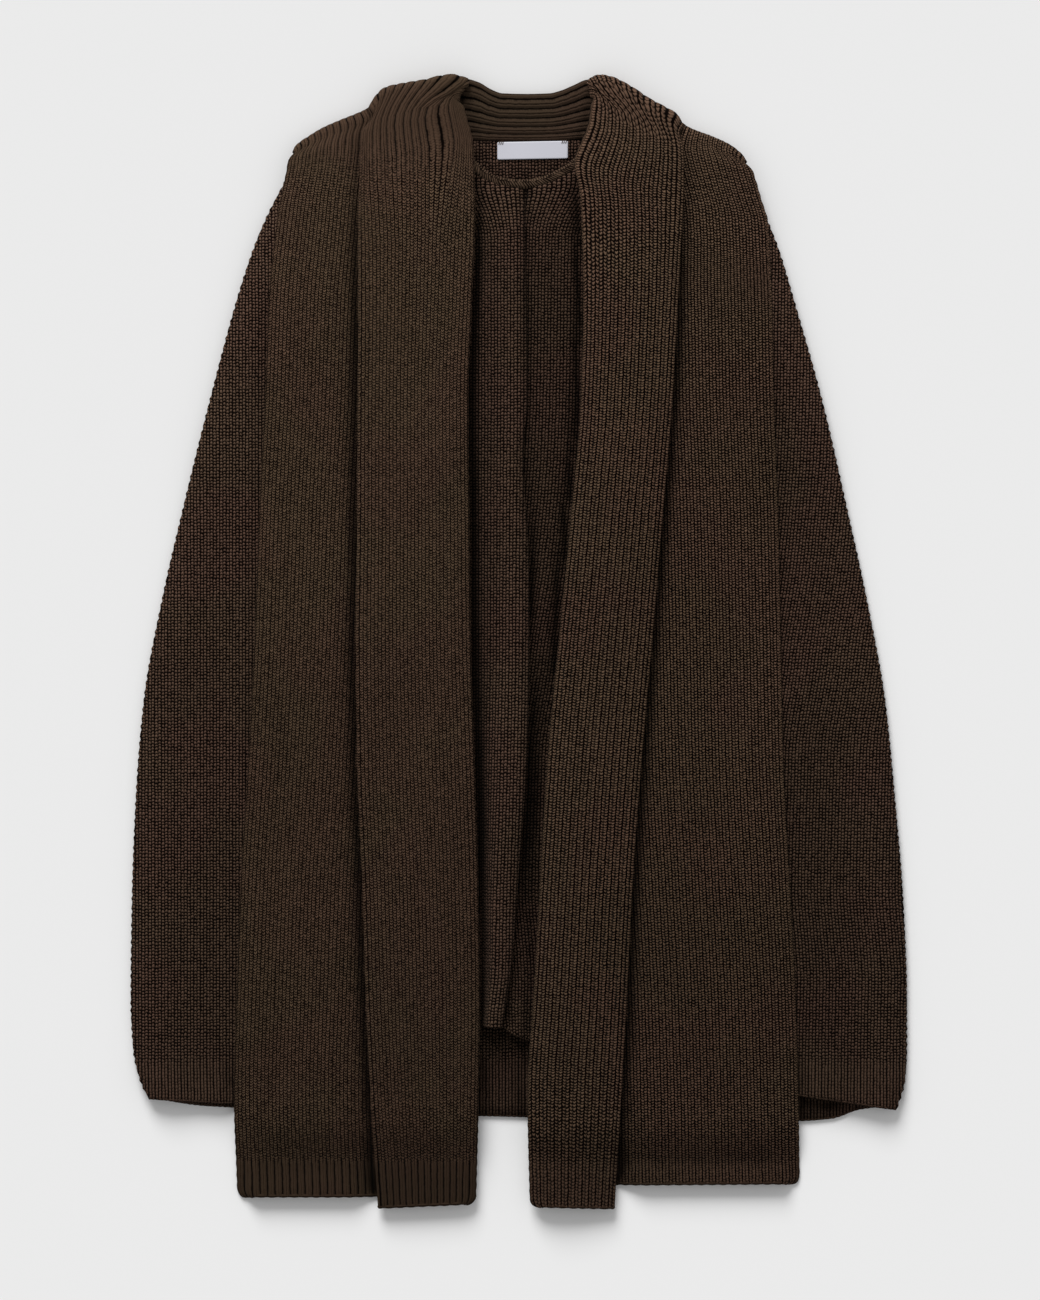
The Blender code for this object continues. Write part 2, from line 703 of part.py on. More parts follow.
def build():
    for old in list(bpy.data.objects):
        bpy.data.objects.remove(old)
    cape = bpy.data.collections.new("knit_cape")
    bpy.context.scene.collection.children.link(cape)
    body_knit = knit("body_knit", BROWN_BODY, 0.95)
    scarf_knit = knit("scarf_knit", BROWN_SCARF, 0.95)
    trim_knit = knit("trim_knit", BROWN_TRIM, 0.95)
    label_cloth = knit("label_cloth", LABEL_GREY, 0.6)

    add_mesh("back", wall(back_grid()), body_knit, cape)
    add_mesh("front", wall(front_grid()), body_knit.copy(), cape)
    add_mesh("neckband", neckband_mesh(), trim_knit, cape)
    left = stretch_mesh(LEFT_STRETCH, LEFT_TOP, DROPS_FROM["left"])
    add_mesh("scarf_left", left, scarf_knit, cape)
    right = stretch_mesh(RIGHT_STRETCH, RIGHT_TOP, DROPS_FROM["right"])
    add_mesh("scarf_right", right, scarf_knit.copy(), cape)
    add_mesh("scarf_stand", stand_mesh(), scarf_knit.copy(), cape)
    add_mesh("scarf_fall", wall(fall_grid()), scarf_knit.copy(), cape)
    label = add_mesh("label", label_mesh(), label_cloth, cape)
    rounding = label.modifiers.new("rounded edges", "BEVEL")
    rounding.width = LABEL_ROUNDING * MM
    rounding.segments = 2


build()
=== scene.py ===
# %% [markdown]
# # A knit cape with a long scarf, laid flat on its back
#
# The cape is two knitted panels, joined at the sides and shoulders, with a long ribbed scarf sewn to its
# back neck. It lies on a pale table, with each end of the scarf folded lengthwise and laid down over the
# front.
#
# The solids of the cape come first, as a fixed frame that nothing here may move. Every piece below is then
# a finer sheet of cloth, made on the form of one solid.

# %% Load the fixed frame
import math

import bpy
import numpy as np
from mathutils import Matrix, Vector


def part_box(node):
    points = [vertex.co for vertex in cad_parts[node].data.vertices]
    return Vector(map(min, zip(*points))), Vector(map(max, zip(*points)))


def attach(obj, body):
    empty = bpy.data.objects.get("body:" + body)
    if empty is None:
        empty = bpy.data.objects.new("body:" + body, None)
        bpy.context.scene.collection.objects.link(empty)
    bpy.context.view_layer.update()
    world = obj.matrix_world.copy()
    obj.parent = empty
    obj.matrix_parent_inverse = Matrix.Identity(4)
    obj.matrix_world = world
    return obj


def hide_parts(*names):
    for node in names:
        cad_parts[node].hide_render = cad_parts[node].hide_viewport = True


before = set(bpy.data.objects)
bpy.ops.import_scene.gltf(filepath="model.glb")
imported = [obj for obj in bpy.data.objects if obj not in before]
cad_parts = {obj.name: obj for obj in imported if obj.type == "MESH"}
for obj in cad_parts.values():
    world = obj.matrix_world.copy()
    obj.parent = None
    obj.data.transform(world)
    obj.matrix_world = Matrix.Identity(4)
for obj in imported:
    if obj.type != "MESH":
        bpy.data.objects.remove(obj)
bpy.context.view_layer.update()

print("solids:", sorted(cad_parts))

# %% [markdown]
# ## Sizes
#
# A tailor measures in millimetres, so the tables here are in millimetres too, and one function at the end
# turns them into Blender's metres. Zero is the middle of the picture of the cape, X runs to the right, Y
# runs up to the neck and Z is the height above the table.
#
# The layers lie on each other like sheets of card. Under the shoulders there is one layer more, because
# the scarf is turned down behind the back, so everything above it is lifted there.

# %% Thickness and height of each layer
MM = 0.001
ZERO_IN_FRAME = np.array((-0.25, -0.74, 0.0))

WALL = 3.0
CLOTH = 2.3
BACK_MIDDLE = WALL / 2
FRONT_ABOVE_BACK = 3.5
SCARF_ABOVE_FRONT = 3.6
LIFT = 3.4
LIFT_STARTS = 155.0
LIFT_ENDS = 85.0


def ease(t):
    t = np.clip(t, 0.0, 1.0)
    return t * t * (3 - 2 * t)


def blend(a, b, t):
    return a + (b - a) * t


def back_level(y):
    return BACK_MIDDLE + LIFT * np.clip((y - LIFT_ENDS) / (LIFT_STARTS - LIFT_ENDS), 0, 1)


def front_level(y):
    return back_level(y) + FRONT_ABOVE_BACK


print("front at the chest, mm above the table:", front_level(200.0))

# %% [markdown]
# ## Tables and smooth curves
#
# The outline of each piece is a short table of points. A curve through them has to be smooth, but
# it must not swing past the points, or a straight hem would get waves. A monotone cubic curve does that: at
# each point it takes a slope that lies between the slopes on both sides.

# %% Read a smooth curve through a table
def table(columns, rows):
    values = np.array(rows, dtype=float)
    return {name: values[:, at] for at, name in enumerate(columns.split())}


def curve_through(keys, values, at):
    order = np.argsort(keys)
    x = np.asarray(keys)[order]
    y = np.asarray(values)[order]
    at = np.clip(at, x[0], x[-1])
    rise = np.diff(y) / np.diff(x)
    product = rise[:-1] * rise[1:]
    total = np.where(product > 0, rise[:-1] + rise[1:], 1.0)
    inner = np.where(product > 0, 2 * product / total, 0.0)
    slope = np.concatenate(([rise[0]], inner, [rise[-1]]))
    left = np.clip(np.searchsorted(x, at, side="right") - 1, 0, len(x) - 2)
    span = x[left + 1] - x[left]
    t = (at - x[left]) / span
    start = (1 + 2 * t) * (1 - t) ** 2 * y[left] + t * (1 - t) ** 2 * span * slope[left]
    end = t * t * (3 - 2 * t) * y[left + 1] + t * t * (t - 1) * span * slope[left + 1]
    return start + end


def read(rows, name, key, at):
    return curve_through(rows[key], rows[name], at)


example = table("x y", [(0, 0), (1, 1), (2, 1)])
print("between the first two points:", float(read(example, "y", "x", 0.5)))

# %% [markdown]
# ## From a grid of points to a sheet of cloth
#
# Each sheet starts as a grid of points through the middle of the cloth: rows run across the cloth and
# columns run along it. A relief, such as a rib, moves each point along the normal of the grid.
# A Solidify modifier then gives the cloth its thickness, on both sides of the grid.
#
# A map named "knit" counts stitches: across it counts wales, which are the columns of stitches, and along
# it counts rows. The materials draw their stitches from that map, so they follow every bend of the cloth.

# %% Make a sheet from its grid
def facing(grid):
    normal = np.cross(np.gradient(grid, axis=0), np.gradient(grid, axis=1))
    normal /= np.maximum(np.linalg.norm(normal, axis=2, keepdims=True), 1e-9)
    return normal if normal[..., 2].mean() > 0 else -normal


made = []


def add_grid(name, grid, wales, rows, material):
    height, width = grid.shape[:2]
    index = np.arange(height * width).reshape(height, width)
    faces = np.stack([index[:-1, :-1], index[1:, :-1], index[1:, 1:], index[:-1, 1:]], axis=-1)
    faces = faces.reshape(-1, 4)
    normal = np.cross(np.gradient(grid, axis=0), np.gradient(grid, axis=1))
    if normal[..., 2].mean() < 0:
        faces = faces[:, ::-1]
    mesh = bpy.data.meshes.new(name)
    points = (grid.reshape(-1, 3) + ZERO_IN_FRAME) * MM
    mesh.from_pydata(points.tolist(), [], faces.tolist())
    corners = np.empty(len(mesh.loops), dtype=np.int32)
    mesh.loops.foreach_get("vertex_index", corners)
    stitches = np.stack([np.ravel(wales), np.ravel(rows)], axis=1)[corners]
    mesh.uv_layers.new(name="knit").data.foreach_set("uv", stitches.astype(np.float32).ravel())
    mesh.materials.append(material)
    mesh.shade_smooth()
    piece = bpy.data.objects.new(name, mesh)
    bpy.context.scene.collection.objects.link(piece)
    made.append((piece, grid))
    return piece


def thicken(piece, thickness):
    shell = piece.modifiers.new("thickness of the cloth", "SOLIDIFY")
    shell.thickness = thickness * MM
    shell.offset = 0.0
    return piece


print("thickness of the cloth, mm:", CLOTH)

# %% [markdown]
# ## The knit
#
# Close up, a stitch of plain knitting is a small V: two legs that lean together. The material makes one
# from the knit map. Across a wale the height goes up over each leg, and along it the phase of the loops is
# shifted by the distance from the middle of the wale, which bends straight rows into Vs.
#
# Wool is matt, and the shade in its gaps between stitches matters more than its colour, so the same height
# also paints shade into the gaps and a highlight onto the raised yarn. The pattern of the stitches is the
# knit's own. A fine noise stands for loose fibres, and a very large one for the way in which a hand-washed
# piece is never quite even.

# %% Nodes for a knitted finish
class Nodes:
    """Write a node tree as short sums."""

    def __init__(self, material):
        material.use_nodes = True
        self.tree = material.node_tree
        self.shader = self.tree.nodes["Principled BSDF"]

    def join(self, value, socket):
        if isinstance(value, bpy.types.NodeSocket):
            self.tree.links.new(value, socket)
        else:
            socket.default_value = value

    def math(self, operation, *values):
        node = self.tree.nodes.new("ShaderNodeMath")
        node.operation = operation
        for value, socket in zip(values, node.inputs):
            self.join(value, socket)
        return node.outputs[0]

    def vector(self, operation, first, second):
        node = self.tree.nodes.new("ShaderNodeVectorMath")
        node.operation = operation
        self.join(first, node.inputs[0])
        self.join(second, node.inputs["Scale"] if operation == "SCALE" else node.inputs[1])
        return node.outputs[0]

    def part(self, vector, name):
        node = self.tree.nodes.new("ShaderNodeSeparateXYZ")
        self.join(vector, node.inputs[0])
        return node.outputs[name]

    def range(self, value, low, high, start, end):
        node = self.tree.nodes.new("ShaderNodeMapRange")
        node.interpolation_type = "SMOOTHSTEP"
        for amount, socket in zip((value, low, high, start, end), node.inputs):
            self.join(amount, socket)
        return node.outputs[0]

    def noise(self, vector, scale, detail):
        node = self.tree.nodes.new("ShaderNodeTexNoise")
        self.join(vector, node.inputs["Vector"])
        self.join(scale, node.inputs["Scale"])
        self.join(detail, node.inputs["Detail"])
        return node.outputs[0]

    def mix(self, share, a, b):
        node = self.tree.nodes.new("ShaderNodeMix")
        node.data_type = "RGBA"
        self.join(share, node.inputs[0])
        self.join((*a, 1.0) if isinstance(a, tuple) else a, node.inputs[6])
        self.join((*b, 1.0) if isinstance(b, tuple) else b, node.inputs[7])
        return node.outputs[2]

    def knit_map(self):
        node = self.tree.nodes.new("ShaderNodeUVMap")
        node.uv_map = "knit"
        return node.outputs[0]


print("helpers for nodes:", [name for name in vars(Nodes) if not name.startswith("_")])

# %% [markdown]
# A material can't count stitches, but it can read the map and ask which wale and row a point is in. Both are
# pushed about a little by a slow noise, because no knitter keeps them dead straight. Every second wale may
# be shifted by part of a row. Near a hem and at the top of the scarf the rows fade into plain ribbing.

# %% Find the place in a stitch
WANDER_SCALE = 0.35
WANDER_ACROSS = 0.3
WANDER_ALONG = 1.2
HEM_CHANGE = 0.005
TOP_CHANGE = 0.03


def place_in_stitch(nodes, stitches, look):
    """The wale and the row that a point is in, and how far it is off the middle of its wale."""
    wander = nodes.math("SUBTRACT", nodes.noise(stitches, WANDER_SCALE, 2.0), 0.5)
    wale = nodes.math("MULTIPLY_ADD", wander, WANDER_ACROSS, nodes.part(stitches, "X"))
    odd = nodes.math("MODULO", nodes.math("FLOOR", nodes.math("ABSOLUTE", wale)), 2.0)
    row = nodes.math("MULTIPLY_ADD", odd, look["stagger"], nodes.part(stitches, "Y"))
    row = nodes.math("MULTIPLY_ADD", wander, WANDER_ALONG, row)
    off_middle = nodes.math("ABSOLUTE", nodes.math("SUBTRACT", nodes.math("FRACT", wale), 0.5))
    return wale, row, nodes.math("MULTIPLY", off_middle, 2.0)


def knitted_here(nodes, along, look):
    """One where the cloth is knitted in rows, and less where it is plain ribbing."""
    below = look["plain_below"]
    above = look["plain_above"]
    low = nodes.range(along, below - HEM_CHANGE, below + HEM_CHANGE, look["plain"], 1.0)
    high = nodes.range(along, above - TOP_CHANGE, above + TOP_CHANGE, 1.0, look["plain"])
    return nodes.math("MULTIPLY", low, high)


print("the ribbing fades out over, mm:", round(2 * TOP_CHANGE / MM))

# %% [markdown]
# The height of a stitch is a product. It is low between two wales and along the middle of a wale, so its legs
# stand out. It is low between two loops, and the slant bends those gaps into Vs. A rib is two wales wide. The
# furrow beside it gets painted shade over some width, and the line between its wales stays narrow. Some
# furrows have darker painted shade for a stretch and others lighter, which a long thin noise decides.

# %% Shape the stitch
FURROW_STRETCH = (0.45, 0.035, 1.0)
FURROW_EDGE = 0.02
RIB_LINE = (0.2, 0.3)
MIDDLE_WIDTH = 0.35


def stitch_height(nodes, stitches, wale, slanted, off_middle, knitted, look):
    share = nodes.math("MULTIPLY", knitted, look["rows"])
    rib = nodes.math("FRACT", nodes.math("MULTIPLY", wale, 0.5))
    to_furrow = nodes.math("MINIMUM", rib, nodes.math("SUBTRACT", 1.0, rib))
    inner = nodes.math("MULTIPLY_ADD", knitted, look["inner"] - look["plain_inner"], look["plain_inner"])
    line = nodes.range(to_furrow, *RIB_LINE, 1.0, inner)
    between = nodes.math("MULTIPLY", nodes.range(off_middle, look["line"], 1.0, 0.0, 1.0), line)
    middle = nodes.range(off_middle, 0.0, MIDDLE_WIDTH, look["middle"], 0.0)
    legs = nodes.math("SUBTRACT", nodes.math("SUBTRACT", 1.0, between), middle)

    wave = nodes.math("SINE", nodes.math("MULTIPLY", nodes.math("FRACT", slanted), math.pi))
    loop = nodes.math("POWER", nodes.math("MAXIMUM", wave, 0.0), look["sharp"])
    loops = nodes.math("MULTIPLY_ADD", loop, share, nodes.math("SUBTRACT", 1.0, share))
    stitch = nodes.math("MULTIPLY", legs, loops)

    # painted shade in the furrows, stronger or weaker along them
    stretch = nodes.vector("MULTIPLY", stitches, FURROW_STRETCH)
    pulled = nodes.math("SUBTRACT", nodes.noise(stretch, 1.0, 1.0), 0.5)
    ribbed = nodes.math("MULTIPLY_ADD", knitted, look["furrow"] - look["plain_furrow"], look["plain_furrow"])
    ribbed = nodes.math("MAXIMUM", nodes.math("MULTIPLY_ADD", pulled, look["pulled"], ribbed), 0.0)
    ribbed = nodes.math("MINIMUM", ribbed, 1.0)
    return nodes.math("MULTIPLY", stitch, nodes.range(to_furrow, FURROW_EDGE, look["wide"], ribbed, 1.0))


print("a furrow stays alike for about, rows:", round(1 / FURROW_STRETCH[1]))

# %% [markdown]
# No two stitches catch the light alike, so each leg of each stitch draws a number by chance. Loose fibres
# blur them, which is a fine noise. Both are weaker where the cloth is plain ribbing.

# %% Give the wool its grain
FIBRE_SCALE = 2.6
LEAST_GRAIN = 0.3


def wool_grain(nodes, stitches, wale, slanted, knitted, look):
    cell = nodes.tree.nodes.new("ShaderNodeCombineXYZ")
    nodes.join(nodes.math("FLOOR", nodes.math("MULTIPLY", wale, 2.0)), cell.inputs[0])
    nodes.join(nodes.math("FLOOR", slanted), cell.inputs[1])
    chance = nodes.tree.nodes.new("ShaderNodeTexWhiteNoise")
    nodes.join(cell.outputs[0], chance.inputs["Vector"])
    fibres = nodes.range(nodes.noise(stitches, FIBRE_SCALE, 3.0), 0.25, 0.75, -0.5, 0.5)
    grain = nodes.math("MULTIPLY", nodes.math("SUBTRACT", chance.outputs["Value"], 0.5), look["chance"])
    grain = nodes.math("MULTIPLY_ADD", fibres, look["fibres"], grain)
    return nodes.math("MULTIPLY", grain, nodes.math("MULTIPLY_ADD", knitted, 1 - LEAST_GRAIN, LEAST_GRAIN))


print("least share of the grain:", LEAST_GRAIN)

# %% [markdown]
# The cape isn't equally light all over. The wool is a little uneven. Painted light makes the neck lighter
# than the hems, and painted shade makes the right darker than the left. Folds get painted shade, and plain
# ribbing and the last stretch above a hem are darker. Each of these is one factor of a product.

# %% Shade the cape as a whole
UNEVEN_SCALE = 7.0
UNEVEN_RANGE = 0.4
UNEVEN_LEAST = 0.8
PAINTED_LIGHT_TO_NECK = 0.55
PAINTED_LIGHT_IN_MIDDLE = 0.94
PAINTED_SHADE_TO_RIGHT = -0.28
HEM_SHADE_BELOW = 0.02
HEM_SHADE_ABOVE = 0.04


def cape_shade(nodes, place, knitted, look):
    along = nodes.part(place, "Y")
    depth = nodes.tree.nodes.new("ShaderNodeAttribute")
    depth.attribute_name = "depth"
    hem = look["plain_below"]
    shade = nodes.math("MULTIPLY_ADD", nodes.noise(place, UNEVEN_SCALE, 3.0), UNEVEN_RANGE, UNEVEN_LEAST)
    for factor in (
        # painted light towards the neck and painted shade towards the right
        nodes.math("MULTIPLY_ADD", along, PAINTED_LIGHT_TO_NECK, PAINTED_LIGHT_IN_MIDDLE),
        nodes.math("MULTIPLY_ADD", nodes.part(place, "X"), PAINTED_SHADE_TO_RIGHT, 1.0),
        # painted shade in folds, edges and hollows, read from the depth attribute
        nodes.math("SUBTRACT", 1.0, depth.outputs["Fac"]),
        nodes.math("MULTIPLY_ADD", knitted, 1 - look["plain_shade"], look["plain_shade"]),
        nodes.range(along, hem - HEM_SHADE_BELOW, hem + HEM_SHADE_ABOVE, look["hem_shade"], 1.0),
    ):
        shade = nodes.math("MULTIPLY", shade, factor)
    return shade


print("the wool varies by a factor from", UNEVEN_LEAST, "to", round(UNEVEN_LEAST + UNEVEN_RANGE, 1))

# %% [markdown]
# The finish puts these together. The height of the stitch picks a colour between the painted shade of a gap
# and the painted highlight of the raised yarn, and it also bends the surface through a Bump node. A slow
# noise turns the brown from
# warm to olive. The wool is matt, with a little sheen from its fibres.

# %% Mix the knit finish
WARM_TINT = (1.02, 0.97, 0.98)
OLIVE_TINT = (0.98, 1.01, 0.96)
DYE_SCALE = 11.0
STITCH_HEIGHT = 0.0008
WOOL_SURFACE = {
    "Roughness": 0.92, "Specular IOR Level": 0.02, "Sheen Weight": 0.015, "Sheen Roughness": 0.5,
    "Sheen Tint": (1.0, 0.82, 0.68, 1.0),
}


def knit_material(name, gap, yarn, look):
    """gap is the colour in the gaps between stitches, with painted shade, and yarn the lightest colour of the
    wool, with a painted highlight where a stitch is highest.
    """
    material = bpy.data.materials.new(name)
    nodes = Nodes(material)
    stitches = nodes.knit_map()
    place = nodes.tree.nodes.new("ShaderNodeTexCoord").outputs["Object"]
    knitted = knitted_here(nodes, nodes.part(place, "Y"), look)
    wale, row, off_middle = place_in_stitch(nodes, stitches, look)
    slanted = nodes.math("MULTIPLY_ADD", off_middle, look["slant"], row)
    stitch = stitch_height(nodes, stitches, wale, slanted, off_middle, knitted, look)
    lit = nodes.math("ADD", stitch, wool_grain(nodes, stitches, wale, slanted, knitted, look))

    # painted shade in the gaps between stitches and a painted highlight on the raised yarn
    colour = nodes.mix(nodes.range(lit, look["dark"], look["light"], 0.0, 1.0), gap, yarn)
    dyed = nodes.range(nodes.noise(place, DYE_SCALE, 2.0), 0.4, 0.6, 0.0, 1.0)
    colour = nodes.vector("MULTIPLY", colour, nodes.mix(dyed, WARM_TINT, OLIVE_TINT))
    colour = nodes.vector("SCALE", colour, cape_shade(nodes, place, knitted, look))
    nodes.join(colour, nodes.shader.inputs["Base Color"])

    raised = nodes.tree.nodes.new("ShaderNodeBump")
    nodes.join(look["bump"], raised.inputs["Strength"])
    nodes.join(STITCH_HEIGHT, raised.inputs["Distance"])
    nodes.join(lit, raised.inputs["Height"])
    nodes.join(raised.outputs[0], nodes.shader.inputs["Normal"])
    for socket, value in WOOL_SURFACE.items():
        nodes.shader.inputs[socket].default_value = value
    return material


# %% [markdown]
# The scarf's left end, its right end and the body are knitted differently, so each has a look of its own:
#
# - line, middle, slant, sharp and stagger shape a stitch, and rows says how much its rows show
# - inner is the line inside a rib, furrow the light left in a furrow, pulled how much furrows vary and wide
#   how far they reach; plain_inner and plain_furrow are the same in plain ribbing
# - plain_below and plain_above are the heights where plain ribbing starts, in metres, plain is how much of
#   the rows is left there, and plain_shade and hem_shade darken it
# - chance and fibres are the grain, dark and light pick the colours, and bump is the strength of the relief

# %% The finishes of this cape
NOWHERE = 9.0
SCARF_LOOK = {
    "line": 0.5, "middle": 0.3, "slant": 0.6, "sharp": 1.1, "stagger": 0.4, "inner": 0.9, "plain_inner": 0.35,
    "furrow": 0.6, "plain_furrow": -0.2, "pulled": 0.5, "wide": 0.26, "rows": 1.0, "plain": 0.15,
    "plain_below": -0.415, "plain_above": 0.385, "plain_shade": 0.38, "hem_shade": 0.78,
    "chance": 0.4, "fibres": 0.2, "dark": 0.25, "light": 0.8, "bump": 1.0,
}
RIGHT_LOOK = {
    **SCARF_LOOK, "line": 0.35, "middle": 0.1, "slant": 0.5, "sharp": 1.4, "stagger": 0.3, "inner": 1.0,
    "plain_inner": 0.8, "furrow": 0.15, "plain_furrow": 0.4, "pulled": 0.4, "wide": 0.28, "plain": 0.6,
    "plain_above": 0.39, "plain_shade": 0.55, "hem_shade": 0.75, "light": 0.75,
}
BODY_LOOK = {
    "line": 0.4, "middle": 0.1, "slant": 0.3, "sharp": 1.2, "stagger": 0.2, "inner": 0.95, "plain_inner": 0.8,
    "furrow": 0.75, "plain_furrow": 0.2, "pulled": 0.5, "wide": 0.22, "rows": 0.95, "plain": 0.5,
    "plain_below": -0.335, "plain_above": NOWHERE, "plain_shade": 0.6, "hem_shade": 0.9,
    "chance": 0.45, "fibres": 0.3, "dark": 0.25, "light": 0.8, "bump": 1.0,
}
# The gap colours are painted shade in the gaps between stitches; the yarn colours are the lit wool, with a
# painted highlight where a stitch is highest.
SCARF_GAP_SHADE = (0.0040, 0.0020, 0.0012)
SCARF_YARN = (0.112, 0.070, 0.045)
RIGHT_GAP_SHADE = (0.0026, 0.0011, 0.0007)
RIGHT_YARN = (0.138, 0.085, 0.056)
BODY_GAP_SHADE = (0.0030, 0.0014, 0.0010)
BODY_YARN = (0.112, 0.068, 0.047)
scarf_knit = knit_material("scarf_knit_finish", SCARF_GAP_SHADE, SCARF_YARN, SCARF_LOOK)
ribbed_knit = knit_material("ribbed_knit_finish", RIGHT_GAP_SHADE, RIGHT_YARN, RIGHT_LOOK)
body_knit = knit_material("body_knit_finish", BODY_GAP_SHADE, BODY_YARN, BODY_LOOK)
print("materials:", [material.name for material in (scarf_knit, ribbed_knit, body_knit)])

# %% [markdown]
# ## Ribs
#
# A rib knit has ridges of plain stitches with narrow furrows between them. A sine would make furrows as
# wide as the ridges. A sine raised to a power below one gives the right profile: a broad round ridge and a
# sharp narrow furrow. Each rib is two wales wide, so it gets a faint groove down its middle.
#
# The columns of the grid are closest where the profile is sharpest, beside each furrow.

# %% The profile of a rib
RIB_STEPS = (0.0, 0.1, 0.3, 0.5, 0.7, 0.9)
RIB_POWER = 0.6
GROOVE = 0.12
GROOVE_WIDTH = 0.12
WALES_IN_RIB = 2
ROW_PITCH = 2.2


def rib_columns(count):
    places = [rib + step for rib in range(count) for step in RIB_STEPS]
    return np.array([*places, count], dtype=float)


def rib_profile(places):
    ridge = np.abs(np.sin(np.pi * places)) ** RIB_POWER
    groove = GROOVE * np.exp(-(((places % 1) - 0.5) / GROOVE_WIDTH) ** 2)
    return ridge - groove - 0.5


print("columns across ten ribs:", len(rib_columns(10)))

# %% [markdown]
# ## The two hanging ends of the scarf
#
# Each end is one flat piece of rib knit, folded into three layers: the inner edge lies on top, the
# cloth turns under at the fold that shows, runs back beneath itself, turns again and comes out on the other
# side. The first table has a row for each place down the cape, with the inner edge, the fold and the outer
# edge. The second follows the top, where the cloth comes over from behind: its share counts from the inner
# edge (0) over the fold (1) to the outer edge (2).

# %% Outlines of the scarf's ends
END_COLUMNS = "inner_x inner_y y fold_x outer_x outer_y under_y"
TOP_COLUMNS = "share x y lean low"

LEFT_END = {
    "rows": table(END_COLUMNS, [
        (-44.5, 427.0, 406.0, -125.5, -183.5, 385.0, 406.0),
        (-41.5, 415.0, 394.0, -126.0, -185.0, 376.0, 394.0),
        (-38.0, 403.0, 382.0, -126.5, -187.0, 366.0, 382.0),
        (-36.5, 382.0, 362.0, -127.5, -190.5, 350.0, 362.0),
        (-35.5, 342.0, 330.0, -128.0, -194.0, 326.0, 330.0),
        (-38.0, 274.0, 274.0, -128.0, -199.0, 274.0, 274.0),
        (-41.0, 194.0, 194.0, -128.5, -202.0, 194.0, 194.0),
        (-40.0, 98.0, 98.0, -129.0, -207.0, 98.0, 98.0),
        (-39.0, 2.0, 2.0, -130.0, -210.5, 2.0, 2.0),
        (-36.0, -94.0, -94.0, -129.0, -215.5, -94.0, -94.0),
        (-33.0, -190.0, -190.0, -125.0, -221.5, -190.0, -190.0),
        (-31.5, -286.0, -286.0, -122.0, -225.0, -286.0, -286.0),
        (-32.5, -358.0, -358.0, -118.5, -227.0, -358.0, -358.0),
        (-35.0, -449.0, -452.5, -112.5, -224.5, -443.5, -443.5),
    ]),
    "top": table(TOP_COLUMNS, [
        (0.00, -46.8, 433.5, 0.0, 13.0),
        (0.10, -45.0, 439.5, 0.0, 12.5),
        (0.20, -40.0, 446.0, 25.0, 11.0),
        (0.27, -39.0, 450.0, 40.0, 8.0),
        (0.33, -43.0, 452.3, 48.0, 5.0),
        (0.41, -52.0, 454.6, 50.0, 1.5),
        (0.49, -62.0, 453.6, 52.0, 1.5),
        (0.56, -70.8, 451.2, 54.0, 1.5),
        (0.71, -87.6, 448.4, 58.0, 1.5),
        (0.88, -105.0, 445.0, 76.0, 1.5),
        (0.95, -112.5, 440.0, 100.0, 1.5),
        (1.00, -120.5, 428.5, 120.0, 1.5),
        (1.10, -127.0, 425.0, 112.0, 1.5),
        (1.35, -142.8, 418.6, 106.0, 1.5),
        (1.60, -157.2, 412.2, 104.0, 1.5),
        (1.80, -167.6, 405.8, 104.0, 3.0),
        (1.95, -177.6, 398.6, 112.0, 7.0),
        (2.00, -181.0, 393.0, 130.0, 9.5),
    ]),
    "ribs": 15,
    "furrows": table("rib first top", [
        (0, 0.0, 0.0), (1, 0.025, 0.015), (2, 0.055, 0.035), (3, 0.09, 0.055), (4, 0.14, 0.08),
        (5, 0.25, 0.172), (6, 0.385, 0.271), (7, 0.455, 0.362), (8, 0.53, 0.473), (9, 0.60, 0.572),
        (10, 0.69, 0.651), (11, 0.77, 0.725), (12, 0.83, 0.799), (13, 0.91, 0.878),
        (14, 0.965, 0.947), (15, 1.0, 1.0),
    ]),
    "gathered_below": 310.0,
    "folded_rise": 8.0,
    "lower_width": 138.0,
    "lower_ribs": 23,
    "crown": table("share rise", [
        (0.0, 0.78), (0.08, 0.98), (0.3, 1.06), (0.6, 1.08), (0.88, 1.06), (1.0, 1.0),
    ]),
    "ribs_stand": table("y top lower", [
        (455.0, 2.1, 1.3), (395.0, 1.8, 1.1), (365.0, 0.9, 0.6), (330.0, 0.4, 0.35),
        (-380.0, 0.35, 0.35), (-415.0, 0.5, 0.7), (-453.0, 0.55, 0.8),
    ]),
    "drops_from": -382.0,
}

